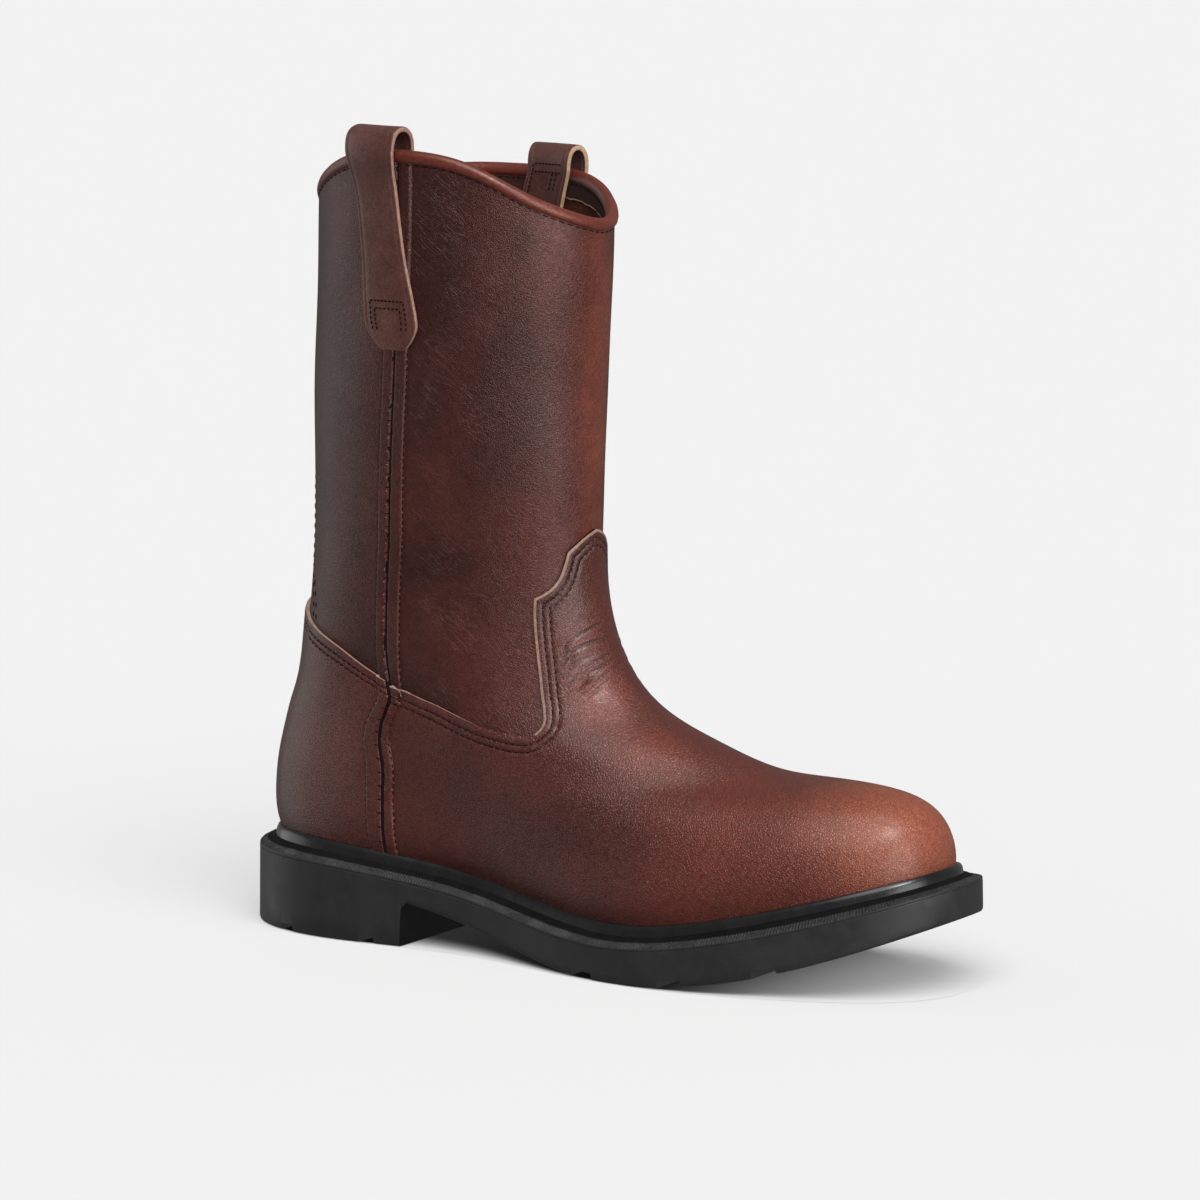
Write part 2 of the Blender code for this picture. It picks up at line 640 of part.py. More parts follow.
def make_welt(parts):
    """Rubber strip round the upper on top of the outsole, with a bead, a groove and a sloping face."""
    turns = np.arange(WELT_COLUMNS) / WELT_COLUMNS
    outer = sole_outline(turns)
    distance = np.full((len(WELT_FOOT), WELT_COLUMNS), PANEL_GAP + PANEL + 1.5 * GAP)
    inner = offset(turns, np.array(WELT_FOOT)[:, None], distance)
    inner[0, :, 2] = side_line("edge", inner[0, :, 0]) + SOLE_GAP
    rings = []
    for k in range(WELT_COLUMNS):
        ring = [tuple(point) for point in inner[:, k]]
        start = inner[-1, k, :2]
        for row in WELT:
            plan = start + (outer[k] - start) * row.share
            height = row.bed * side_line("bed", plan[0]) + row.edge * side_line("edge", plan[0]) + row.lift
            ring.append((plan[0], plan[1], float(height)))
        rings.append(ring)
    rings = np.array(rings)
    faces = grid_faces(len(rings), rings.shape[1], 0, True, True)
    return add_object("welt", rings.reshape(-1, 3), faces, SOLE_RUBBER, parts)


def outline_sides():
    """Both sides of the sole's plan from heel to toe, as functions of x."""
    lateral = sole_outline(np.linspace(0, 0.5, 400))
    medial = sole_outline(1 - np.linspace(0, 0.5, 400))
    return lateral, medial


def make_outsole(parts, cutters):
    """Moulded rubber outsole with its heel: a true outline, an arch, toe spring and grooves in the tread."""
    lateral, medial = outline_sides()
    heel_end = lateral[0, 0]
    toe_end = lateral[-1, 0]
    spread = (1 - np.cos(np.linspace(0, math.pi, SOLE_STATIONS + 1))) / 2
    stations = [(x, None) for x in heel_end + (toe_end - heel_end) * spread if abs(x - HEEL_BREAST) > 0.006]
    stations += [(HEEL_BREAST, 0.0), (HEEL_BREAST + 0.0006, 0.0130), (HEEL_BREAST + 0.0040, None)]
    stations.sort(key=lambda station: station[0])
    rings = []
    for x, bottom in stations:
        if bottom is None:
            bottom = 0.0 if x < HEEL_BREAST else float(tread_height(x))
        top = float(side_line("edge", x))
        left = float(np.interp(x, lateral[:, 0], lateral[:, 1]))
        right = float(np.interp(x, medial[:, 0], medial[:, 1]))
        half = (right - left) / 2
        flare = min(SOLE_FLARE, half)
        chamfer = min(SOLE_CHAMFER, half * 0.5)
        rings.append([
            (x, left, top),
            (x, right, top),
            (x, right + flare, bottom + SOLE_CHAMFER),
            (x, right + flare - chamfer, bottom),
            (x, left - flare + chamfer, bottom),
            (x, left - flare, bottom + SOLE_CHAMFER),
        ])
    rings = np.array(rings)
    sole = add_object("outsole", *loft(rings, True), SOLE_RUBBER, parts)
    groove_points = []
    groove_faces = []
    for groove in GROOVES:
        x = groove.along
        ahead = HEEL_BREAST < x
        height = float(tread_height(x)) if ahead else 0.0
        slope = float(tread_height(x + 0.001) - tread_height(x - 0.001)) / 0.002 if ahead else 0.0
        tilt = math.atan(slope)
        forward = np.array([math.cos(tilt), 0, math.sin(tilt)])
        upward = np.array([-math.sin(tilt), 0, math.cos(tilt)])
        sides = (np.interp(x, lateral[:, 0], lateral[:, 1]), np.interp(x, medial[:, 0], medial[:, 1]))
        for side_y, inward in zip(sides, (1, -1)):
            start = len(groove_points)
            for dx in (-groove.width / 2, groove.width / 2):
                for y in (side_y - inward * 0.008, side_y + inward * GROOVE_REACH):
                    for dz in (-0.012, GROOVE_DEPTH):
                        groove_points.append(np.array([x, y, height]) + forward * dx + upward * dz)
            for face in ((0, 1, 3, 2), (4, 6, 7, 5), (0, 4, 5, 1), (2, 3, 7, 6), (0, 2, 6, 4), (1, 5, 7, 3)):
                groove_faces.append(tuple(start + n for n in face))
    cutter = add_object("groove_cutter", groove_points, groove_faces, None, cutters)
    cutter.hide_render = True
    cutter.display_type = "WIRE"
    cut = sole.modifiers.new("grooves", "BOOLEAN")
    cut.operation = "DIFFERENCE"
    cut.solver = "EXACT"
    cut.object = cutter
    return sole


def clear_scene():
    """Start from an empty scene."""
    for old in list(bpy.data.objects):
        bpy.data.objects.remove(old, do_unlink=True)


clear_scene()
boot = bpy.data.collections.new("pull_on_boot")
helpers = bpy.data.collections.new("cutters")
bpy.context.scene.collection.children.link(boot)
bpy.context.scene.collection.children.link(helpers)
make_outsole(boot, helpers)
make_welt(boot)
make_insole(boot)
make_upper(boot)
make_vamp(boot)
make_counter(boot)
make_side_seam("side_seam_lateral", LATERAL, boot)
make_side_seam("side_seam_medial", MEDIAL, boot)
make_binding(boot)
make_strap("pull_strap_lateral", LATERAL, boot)
make_strap("pull_strap_medial", MEDIAL, boot)
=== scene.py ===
# %% [markdown]
# # A pull-on work boot, right foot
# The boot is built the way a maker builds it: leather panels are shaped over a last, sewn, bound at the
# collar, and joined to a rubber sole. The solids of the frame give the sizes. Each piece here is a finer
# one that takes the place of its solid. Units are metres, +X runs to the toe, +Y to the inner side, and
# the floor is z = 0.

# %% Load the frame
import math
from collections import namedtuple

import bpy
import numpy as np
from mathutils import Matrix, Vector
from mathutils.geometry import delaunay_2d_cdt


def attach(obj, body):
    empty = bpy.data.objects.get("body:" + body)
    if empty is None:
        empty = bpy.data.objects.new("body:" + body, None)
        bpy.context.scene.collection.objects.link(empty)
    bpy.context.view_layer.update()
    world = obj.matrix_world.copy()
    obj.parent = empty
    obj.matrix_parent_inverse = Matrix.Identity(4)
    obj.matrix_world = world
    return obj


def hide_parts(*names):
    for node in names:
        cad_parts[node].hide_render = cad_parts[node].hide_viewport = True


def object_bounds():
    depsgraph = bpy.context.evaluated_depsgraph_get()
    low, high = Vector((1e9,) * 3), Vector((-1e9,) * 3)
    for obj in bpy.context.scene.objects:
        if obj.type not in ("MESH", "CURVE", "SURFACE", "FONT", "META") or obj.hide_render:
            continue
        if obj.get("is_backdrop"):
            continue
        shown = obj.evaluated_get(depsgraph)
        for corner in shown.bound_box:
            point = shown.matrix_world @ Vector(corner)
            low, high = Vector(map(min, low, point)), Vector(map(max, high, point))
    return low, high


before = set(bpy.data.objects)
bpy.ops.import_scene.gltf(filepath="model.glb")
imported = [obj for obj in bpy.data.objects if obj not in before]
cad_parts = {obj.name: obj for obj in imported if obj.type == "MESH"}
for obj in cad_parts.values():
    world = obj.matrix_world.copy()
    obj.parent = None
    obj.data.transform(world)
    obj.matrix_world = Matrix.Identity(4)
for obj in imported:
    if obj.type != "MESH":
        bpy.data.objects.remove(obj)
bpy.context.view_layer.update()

bpy.ops.object.select_all(action="DESELECT")

# %% [markdown]
# ## Camera and studio
# The photograph is taken with a long lens from a little above the floor, on the outer side and toward the
# toe. The camera could be fitted by eye, but a long lens is sensitive, so its place comes from the boot's
# known sizes. A wide pale floor fills the view. A white world lights it evenly, and far lamps with a wide
# spread stand for large softboxes: they give soft highlights and leave the floor even. A smaller lamp
# adds the bright spots on toe and instep. Only the lamp overhead casts a shadow. The floor is kept out of
# reflections, as a dark table in front of the boot keeps it in a studio.

# %% Camera
AIM = Vector((-0.0029, -0.0019, 0.1363))
CAMERA_PLACE = Vector((1.1941, -1.9440, 0.4964))
LENS_MM = 180.7
SENSOR_MM = 36


def turned_to(direction):
    """The rotation of a camera or lamp that looks along a direction."""
    return Vector(direction).to_track_quat("-Z", "Y").to_euler()


bpy.ops.object.camera_add(location=CAMERA_PLACE, rotation=turned_to(AIM - CAMERA_PLACE))
camera = bpy.context.object
camera.name = "photo_camera"
camera.data.lens = LENS_MM
camera.data.sensor_width = SENSOR_MM
bpy.context.scene.camera = camera
bpy.context.scene.view_settings.view_transform = "Standard"
print("camera distance:", round((AIM - CAMERA_PLACE).length, 3))

# %% Floor, world and lamps
Lamp = namedtuple("Lamp", "name toward spread strength shadow")
LAMPS = (
    Lamp("overhead_softbox", (-0.30, 0.40, -0.85), 54, 3.65, True),
    Lamp("small_softbox", (-0.58, 0.30, -0.76), 19, 2.65, False),
    Lamp("right_softbox", (-0.92, 0.30, -0.10), 46, 3.50, False),
    Lamp("left_softbox", (0.97, 0.12, -0.06), 46, 0.80, False),
)
WORLD_LIGHT = 0.28
FLOOR_COLOUR = (0.42, 0.42, 0.42, 1)
FLOOR_ROUGHNESS = 0.9
FLOOR_SIZE = 60

bpy.ops.mesh.primitive_plane_add(size=FLOOR_SIZE)
floor = bpy.context.object
floor.name = "studio_floor"
floor.visible_glossy = False
floor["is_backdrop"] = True
floor_paint = bpy.data.materials.new("studio_floor_paint")
floor_paint.use_nodes = True
floor_shader = floor_paint.node_tree.nodes["Principled BSDF"]
floor_shader.inputs["Base Color"].default_value = FLOOR_COLOUR
floor_shader.inputs["Roughness"].default_value = FLOOR_ROUGHNESS
floor_shader.inputs["Specular IOR Level"].default_value = 0.0
floor.data.materials.append(floor_paint)

world = bpy.data.worlds.new("white_studio")
bpy.context.scene.world = world
world.use_nodes = True
backdrop = world.node_tree.nodes["Background"]
backdrop.inputs["Color"].default_value = (1, 1, 1, 1)
backdrop.inputs["Strength"].default_value = WORLD_LIGHT
for row in LAMPS:
    bpy.ops.object.light_add(type="SUN", rotation=turned_to(row.toward))
    lamp = bpy.context.object
    lamp.name = row.name
    lamp.data.angle = math.radians(row.spread)
    lamp.data.energy = row.strength
    lamp.data.use_shadow = row.shadow
print("lamps:", len(LAMPS))

# %% [markdown]
# ## The last
# A boot is pulled over a last, so every panel follows one shape. That shape is held in short tables:
# sections from the sole to the collar, the line of the sole, and the scallop of the collar. A place on it
# has a turn, which runs once round from the back of the heel past the outer side and the toe, and a
# level, which counts the sections. It could be sculpted, but then the panels wouldn't fit each other or
# the solids.

# %% Tables of the last
LAST_LENGTH = 0.288
BALL_WIDTH = 0.0845
SHAFT_HEIGHT = 0.310
HEEL_MARGIN = 0.0110
TOE_MARGIN = 0.0122
SOLE_GAP = 0.0004
HEEL_BREAST = 0.0725

Side = namedtuple("Side", "along bed edge swing")
SIDE = (
    Side(-0.04, 0.0360, 0.0298, 0.0000),
    Side(0.10, 0.0358, 0.0292, 0.0000),
    Side(0.21, 0.0332, 0.0268, 0.0000),
    Side(0.34, 0.0286, 0.0221, -0.0010),
    Side(0.48, 0.0221, 0.0155, -0.0028),
    Side(0.61, 0.0195, 0.0130, -0.0018),
    Side(0.74, 0.0246, 0.0177, 0.0025),
    Side(0.87, 0.0340, 0.0266, 0.0055),
    Side(1.04, 0.0478, 0.0415, 0.0070),
)
Tread = namedtuple("Tread", "along height")
TREAD = (
    Tread(0.25, 0.0182),
    Tread(0.34, 0.0130),
    Tread(0.45, 0.0054),
    Tread(0.52, 0.0018),
    Tread(0.60, 0.0000),
    Tread(0.69, 0.0012),
    Tread(0.80, 0.0068),
    Tread(0.91, 0.0162),
    Tread(1.04, 0.0302),
)
STATIONS = (0.0, 0.25, 0.42, 0.60, 0.78, 1.0)
Section = namedtuple("Section", "name back back_up front front_up bed heel_end heel waist ball toe toe_end")
SECTIONS = (
    Section("base", 0.002, 0.0964, 0.979, 0.1309, 1.00, 1.58, 1.00, 0.62, 0.98, 1.22, 1.62),
    Section("feather", -0.005, 0.1151, 0.988, 0.1515, 1.00, 1.60, 1.03, 0.66, 1.02, 1.27, 1.70),
    Section("side", -0.012, 0.1338, 0.987, 0.1692, 1.00, 1.60, 1.06, 0.74, 1.08, 1.30, 1.74),
    Section("toe wall", -0.015, 0.1722, 0.971, 0.2046, 0.90, 1.58, 1.05, 0.79, 1.03, 1.20, 1.50),
    Section("toe top", -0.010, 0.2096, 0.904, 0.2322, 0.75, 1.51, 1.03, 0.80, 0.93, 1.00, 1.10),
    Section("vamp", 0.002, 0.2538, 0.762, 0.2386, 0.55, 1.38, 1.00, 0.82, 0.84, 0.82, 0.84),
    Section("cone", 0.011, 0.2809, 0.654, 0.2681, 0.42, 1.30, 0.98, 0.83, 0.83, 0.80, 0.80),
    Section("instep", 0.022, 0.3080, 0.553, 0.3158, 0.30, 1.21, 0.97, 0.84, 0.82, 0.77, 0.75),
    Section("throat", 0.036, 0.3876, 0.478, 0.4349, 0.10, 1.10, 0.97, 0.88, 0.86, 0.84, 0.82),
    Section("ankle", 0.046, 0.4919, 0.471, 0.5460, 0.00, 1.05, 0.99, 0.96, 0.94, 0.94, 0.94),
    Section("calf", 0.048, 0.6503, 0.474, 0.6818, 0.00, 1.03, 1.03, 1.03, 1.03, 1.03, 1.03),
    Section("top", 0.053, 0.7940, 0.483, 0.8097, 0.00, 1.05, 1.05, 1.05, 1.05, 1.05, 1.05),
    Section("collar", 0.061, 0.9376, 0.483, 0.9219, 0.00, 1.07, 1.07, 1.07, 1.07, 1.07, 1.07),
)
TOP = len(SECTIONS) - 1
Scallop = namedtuple("Scallop", "turn rise")
SCALLOP = (
    Scallop(-0.08, 0.0008),
    Scallop(0.00, -0.0021),
    Scallop(0.07, 0.0006),
    Scallop(0.13, 0.0094),
    Scallop(0.19, 0.0172),
    Scallop(0.26, 0.0200),
    Scallop(0.32, 0.0171),
    Scallop(0.39, 0.0060),
    Scallop(0.45, -0.0008),
    Scallop(0.50, -0.0040),
    Scallop(0.57, -0.0016),
    Scallop(0.64, 0.0062),
    Scallop(0.69, 0.0086),
    Scallop(0.76, 0.0083),
    Scallop(0.83, 0.0068),
    Scallop(0.92, 0.0008),
    Scallop(1.00, -0.0021),
    Scallop(1.07, 0.0006),
)
print("sections of the last:", len(SECTIONS))

# %% Functions of the last
TABLE_TURNS = 1440
BASE_CLEARANCE = 0.0002
TURN_STEP = 0.002
LEVEL_STEP = 0.01
Wave = namedtuple("Wave", "x y z phase size")
WAVES = (
    Wave(61, 23, 47, 0.3, 0.00016),
    Wave(-37, 71, 29, 1.9, 0.00016),
    Wave(17, -53, 83, 4.1, 0.00014),
    Wave(131, 47, -89, 2.2, 0.00007),
    Wave(-97, 151, 113, 5.3, 0.00006),
)


def spline(knots, values, at):
    """Natural cubic spline through values at knots, read at the places in at."""
    knots, values, at = (np.asarray(row, float) for row in (knots, values, at))
    count = len(knots)
    step = np.diff(knots)
    matrix = np.eye(count)
    right = np.zeros(count)
    for i in range(1, count - 1):
        matrix[i, i - 1 : i + 2] = step[i - 1], 2 * (step[i - 1] + step[i]), step[i]
        right[i] = 6 * ((values[i + 1] - values[i]) / step[i] - (values[i] - values[i - 1]) / step[i - 1])
    bend = np.linalg.solve(matrix, right)
    i = np.clip(np.searchsorted(knots, at, side="right") - 1, 0, count - 2)
    a = (knots[i + 1] - at) / step[i]
    b = 1 - a
    curve = ((a**3 - a) * bend[i] + (b**3 - b) * bend[i + 1]) * step[i] ** 2 / 6
    return a * values[i] + b * values[i + 1] + curve


def unit(vectors):
    """Vectors brought to length one."""
    return vectors / np.linalg.norm(vectors, axis=-1, keepdims=True)


def run_along(points):
    """Way along a line of points, from 0 at its first."""
    return np.concatenate([[0], np.cumsum(np.linalg.norm(np.diff(points, axis=0), axis=1))])


def column(table, name):
    """One column of a table as a list."""
    return [getattr(row, name) for row in table]


def side_line(name, x):
    """One column of the SIDE table at places x along the last."""
    return spline(np.array(column(SIDE, "along")) * LAST_LENGTH, column(SIDE, name), x)


def section_loop(section, turn):
    """Points of one section at an array of turns."""
    half_turn = 1 - np.abs(1 - 2 * turn)
    side = np.where(turn < 0.5, -1.0, 1.0)
    share = (1 - np.cos(math.pi * half_turn)) / 2
    back = section.back * LAST_LENGTH
    front = section.front * LAST_LENGTH
    x = back + (front - back) * share
    fullness = spline(STATIONS, section[6:], half_turn) * BALL_WIDTH / 2
    y = side * fullness * np.sin(math.pi * half_turn) + section.bed * side_line("swing", x)
    z = SHAFT_HEIGHT * (section.back_up + (section.front_up - section.back_up) * share)
    bed_back, bed_front = side_line("bed", np.array([back, front]))
    z = z + section.bed * (side_line("bed", x) - bed_back - (bed_front - bed_back) * share)
    if section.name == "base":
        z = side_line("edge", x) + SOLE_GAP + BASE_CLEARANCE
    if section.name == "feather":
        z = side_line("bed", x)
    if section.name == "collar":
        z = z + spline(column(SCALLOP, "turn"), column(SCALLOP, "rise"), turn)
    return np.stack([x, y, z], axis=-1)


def sole_outline(turn):
    """Plan of the sole, outside the line where the upper meets the welt."""
    turn = np.asarray(turn, float)
    feather = section_loop(SECTIONS[1], turn % 1.0)
    ahead, behind = (section_loop(SECTIONS[1], (turn + step) % 1.0) for step in (1e-4, -1e-4))
    tangent = unit((ahead - behind)[:, :2])
    out = np.stack([tangent[:, 1], -tangent[:, 0]], axis=1)
    share = np.clip(feather[:, 0] / LAST_LENGTH, 0, 1)
    return feather[:, :2] + out * (HEEL_MARGIN + (TOE_MARGIN - HEEL_MARGIN) * share)[:, None]


plan = sole_outline(np.arange(0, 1, 1 / 720))
ORIGIN = np.append((plan.min(axis=0) + plan.max(axis=0)) / 2, 0.0)

table_turns = np.arange(TABLE_TURNS + 1) / TABLE_TURNS
net = np.stack([section_loop(section, table_turns % 1.0) for section in SECTIONS], axis=1)
net_step = np.linalg.norm(np.diff(net, axis=1), axis=2)
net_slope = np.diff(net, axis=1) / net_step[..., None]
net_matrix = np.zeros((len(table_turns), TOP + 1, TOP + 1))
net_right = np.zeros_like(net)
net_matrix[:, 0, 0] = net_matrix[:, TOP, TOP] = 1
for i in range(1, TOP):
    net_matrix[:, i, i - 1] = net_step[:, i - 1]
    net_matrix[:, i, i] = 2 * (net_step[:, i - 1] + net_step[:, i])
    net_matrix[:, i, i + 1] = net_step[:, i]
    net_right[:, i] = 6 * (net_slope[:, i] - net_slope[:, i - 1])
net_bend = np.linalg.solve(net_matrix, net_right)


def meridian(k, i, b):
    """Points on the meridians k, a share b of the way from section i to the next."""
    a = 1 - b
    length = net_step[k, i][..., None]
    curve = ((a**3 - a) * net_bend[k, i] + (b**3 - b) * net_bend[k, i + 1]) * length**2 / 6
    return a * net[k, i] + b * net[k, i + 1] + curve


def skin(turn, level):
    """Points of the upper's outer skin, about the part's origin."""
    turn, level = np.broadcast_arrays(np.asarray(turn, float), np.asarray(level, float))
    place = (turn % 1.0) * TABLE_TURNS
    k = np.clip(place.astype(int), 0, TABLE_TURNS - 1)
    w = (place - k)[..., None]
    i = np.clip(level.astype(int), 0, TOP - 1)
    b = (level - i)[..., None]
    return meridian(k, i, b) * (1 - w) + meridian(k + 1, i, b) * w - ORIGIN


def along_turn(turn, level):
    """How the skin moves per turn."""
    turn = np.asarray(turn)
    return (skin(turn + TURN_STEP, level) - skin(turn - TURN_STEP, level)) / (2 * TURN_STEP)


def along_level(turn, level):
    """How the skin moves per level."""
    low = np.maximum(np.asarray(level, float) - LEVEL_STEP, 0)
    high = np.minimum(np.asarray(level, float) + LEVEL_STEP, TOP)
    return (skin(turn, high) - skin(turn, low)) / (high - low)[..., None]


def normal(turn, level):
    """Outward unit normals of the skin."""
    return unit(np.cross(along_turn(turn, level), along_level(turn, level)))


def offset(turn, level, distance):
    """The skin moved outward by a distance."""
    return skin(turn, level) + normal(turn, level) * np.asarray(distance)[..., None]


def smooth_step(low, high, value):
    """0 below low, 1 above high, and a soft rise between."""
    share = np.clip((value - low) / (high - low), 0, 1)
    return share * share * (3 - 2 * share)


def bell(value, half):
    """A soft hump that is 1 at 0 and falls off at about half."""
    return np.exp(-((value / half) ** 2))


def line_distance(points, line):
    """Distance from each point to a line of points."""
    best = np.full(len(points), 1.0)
    for a, b in zip(line[:-1], line[1:]):
        run = b - a
        share = np.clip(((points - a) @ run) / (run @ run + 1e-18), 0, 1)
        best = np.minimum(best, np.linalg.norm(points - a - share[:, None] * run, axis=1))
    return best


def unevenness(points):
    """A soft unevenness of hand-shaped leather, in metres, as a sum of slow waves."""
    total = np.zeros(points.shape[:-1])
    for wave in WAVES:
        total += wave.size * np.sin(points @ np.array([wave.x, wave.y, wave.z]) + wave.phase)
    return total


print("height of the collar at the outer side in mm:", round(1000 * float(skin(0.25, TOP)[2]), 1))

# %% [markdown]
# ## Helpers for meshes
# A flat grid is added with an operator, and each of its points is then laid on its place, as a sheet of
# leather is pulled over the last. Where the grid goes right round, its two ends are merged. Thickness
# comes from a Solidify modifier, which also gives the cut edge a material of its own.

# %% Mesh helpers
MERGE_DISTANCE = 2e-6


def laid_grid(name, points, ring, ring_rows=False):
    """A grid primitive with its points laid on a table of places, merged where it closes on itself."""
    if ring:
        points = np.concatenate([points, points[:, :1]], axis=1)
    if ring_rows:
        points = np.concatenate([points, points[:1]], axis=0)
    rows, columns = points.shape[:2]
    bpy.ops.object.select_all(action="DESELECT")
    bpy.ops.mesh.primitive_grid_add(x_subdivisions=columns - 1, y_subdivisions=rows - 1, size=1)
    made = bpy.context.object
    made.name = made.data.name = name
    made.data.vertices.foreach_set("co", points.reshape(-1).astype(np.float32))
    made.data.update()
    if ring or ring_rows:
        bpy.ops.object.mode_set(mode="EDIT")
        bpy.ops.mesh.select_all(action="SELECT")
        bpy.ops.mesh.remove_doubles(threshold=MERGE_DISTANCE)
        bpy.ops.object.mode_set(mode="OBJECT")
    return made


def mesh_object(name, points, faces):
    """An object from points and faces."""
    mesh = bpy.data.meshes.new(name)
    mesh.from_pydata(points.tolist(), [], faces)
    made = bpy.data.objects.new(name, mesh)
    bpy.context.scene.collection.objects.link(made)
    return made


def take(piece):
    """Make one object the only selected and active one."""
    bpy.ops.object.select_all(action="DESELECT")
    bpy.context.view_layer.objects.active = piece
    piece.select_set(True)


def edit(piece, *steps):
    """Run mesh operators on the whole of a piece in edit mode."""
    take(piece)
    bpy.ops.object.mode_set(mode="EDIT")
    bpy.ops.mesh.select_all(action="SELECT")
    for step in steps:
        step()
    bpy.ops.object.mode_set(mode="OBJECT")


def face_outward(piece):
    """Turn all faces outward."""
    edit(piece, lambda: bpy.ops.mesh.normals_make_consistent(inside=False))


def thicken(piece, thickness, rim_slot):
    """Give a sheet its thickness inward, with the material of its cut edge."""
    take(piece)
    bpy.ops.object.modifier_add(type="SOLIDIFY")
    wall = piece.modifiers[-1]
    wall.thickness = thickness
    wall.offset = -1
    wall.use_even_offset = False
    wall.material_offset_rim = rim_slot
    bpy.ops.object.modifier_apply(modifier=wall.name)


def dress(piece, *finishes):
    """Give a piece its finishes, the main one first."""
    piece.data.materials.clear()
    for finish in finishes:
        piece.data.materials.append(finish)


def smooth(piece, degrees):
    """Shade smooth, with sharp edges above an angle."""
    take(piece)
    bpy.ops.object.shade_smooth_by_angle(angle=math.radians(degrees))


def settle(piece, slot_name, *nodes):
    """Let a piece ride on the boot and hide the solids that it stands for. The slot name is not used."""
    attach(piece, "root")
    if nodes:
        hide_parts(*nodes)
    faces = sum(len(face.vertices) - 2 for face in piece.data.polygons)
    print(piece.name, "triangles:", faces)


# %% [markdown]
# ## Shared shader groups
# Three effects return in many finishes, so each is a node group. A soft patch is a patch of colour at a
# given place. Hide grain is the small relief of leather, with pebbles, fine folds and pores. Scuff is a
# cloudy mask that breaks up colour and gloss. They read Object coordinates, so the grain has its real size.

# %% Node helpers


def feed(tree, socket, value):
    """Link an output to an input socket, or set the socket to a plain value."""
    if isinstance(value, bpy.types.NodeSocket):
        tree.links.new(value, socket)
    else:
        socket.default_value = value


def put(tree, kind, inputs=None, **settings):
    """Add a node, with settings and with values or links for its inputs."""
    made = tree.nodes.new(kind)
    for name, value in settings.items():
        setattr(made, name, value)
    for socket, value in (inputs or {}).items():
        feed(tree, made.inputs[socket], value)
    return made


def math_node(tree, operation, first, second=0.0):
    """The output of a Math node."""
    return put(tree, "ShaderNodeMath", {0: first, 1: second}, operation=operation).outputs[0]


def times(tree, first, second):
    """The product of two values."""
    return math_node(tree, "MULTIPLY", first, second)


def plus(tree, first, second):
    """The sum of two values."""
    return math_node(tree, "ADD", first, second)


def noise(tree, place, scale, detail):
    """A Noise Texture node at a scale."""
    return put(tree, "ShaderNodeTexNoise", {"Vector": place, "Scale": scale, "Detail": detail})


def mix_colour(tree, factor, first, second, blend="MIX"):
    """The output of a colour Mix node."""
    made = put(tree, "ShaderNodeMix", data_type="RGBA", blend_type=blend)
    for socket, value in (("Factor", factor), (6, first), (7, second)):
        feed(tree, made.inputs[socket], value)
    return made.outputs[2]


def remap(tree, value, from_low, from_high, to_low=0.0, to_high=1.0, soft=False):
    """The output of a Map Range node."""
    kind = "SMOOTHSTEP" if soft else "LINEAR"
    inputs = {
        "Value": value,
        "From Min": from_low,
        "From Max": from_high,
        "To Min": to_low,
        "To Max": to_high,
    }
    return put(tree, "ShaderNodeMapRange", inputs, interpolation_type=kind).outputs["Result"]


def new_group(name, inputs, outputs):
    """An empty shader node group with named sockets, and its two end nodes."""
    group = bpy.data.node_groups.new(name, "ShaderNodeTree")
    for socket, kind in inputs:
        group.interface.new_socket(socket, in_out="INPUT", socket_type=kind)
    for socket, kind in outputs:
        group.interface.new_socket(socket, in_out="OUTPUT", socket_type=kind)
    return group, group.nodes.new("NodeGroupInput"), group.nodes.new("NodeGroupOutput")


# %% Soft patch group
PATCH_CLOUDS = 62.0
PATCH_WANDER = 0.55
PATCH_CORE = 0.10
PATCH_RIM = 1.15

soft_patch, ends_in, ends_out = new_group(
    "soft_patch",
    (("Vector", "NodeSocketVector"), ("Centre", "NodeSocketVector"), ("Reach", "NodeSocketVector")),
    (("Mask", "NodeSocketFloat"),),
)
place, centre, reach = ends_in.outputs[:3]
away = put(soft_patch, "ShaderNodeVectorMath", {0: place, 1: centre}, operation="SUBTRACT").outputs[0]
scaled = put(soft_patch, "ShaderNodeVectorMath", {0: away, 1: reach}, operation="DIVIDE").outputs[0]
far = put(soft_patch, "ShaderNodeVectorMath", {0: scaled}, operation="LENGTH").outputs["Value"]
cloud = noise(soft_patch, place, PATCH_CLOUDS, 3.0).outputs[0]
wander = times(soft_patch, math_node(soft_patch, "SUBTRACT", cloud, 0.5), PATCH_WANDER)
mask = remap(soft_patch, plus(soft_patch, far, wander), PATCH_CORE, PATCH_RIM, 1.0, 0.0, soft=True)
soft_patch.links.new(mask, ends_out.inputs[0])

# %% Hide grain group
FOLD_SLANT = math.radians(42)
FOLD_SIZE = (0.0085, 0.0034, 0.0022)
FOLD_WIDTH = 0.026
STROKE_SIZE = (0.0024, 0.0015, 0.0008)
STROKE_SHARE = 0.35
SHAKE_SCALE = 520.0
SHAKE_WAY = (0.0010, 0.0010, 0.0010)
GAP_SCALE = 60.0
PORE_SCALE = 2100.0
PIT_LEVEL = 0.6

hide_grain, ends_in, ends_out = new_group(
    "hide_grain",
    (
        ("Vector", "NodeSocketVector"),
        ("Pebble Scale", "NodeSocketFloat"),
        ("Pebble Share", "NodeSocketFloat"),
        ("Fold Share", "NodeSocketFloat"),
    ),
    (("Height", "NodeSocketFloat"), ("Tone", "NodeSocketFloat")),
)
place, pebble_scale, pebble_share, fold_share = ends_in.outputs[:4]


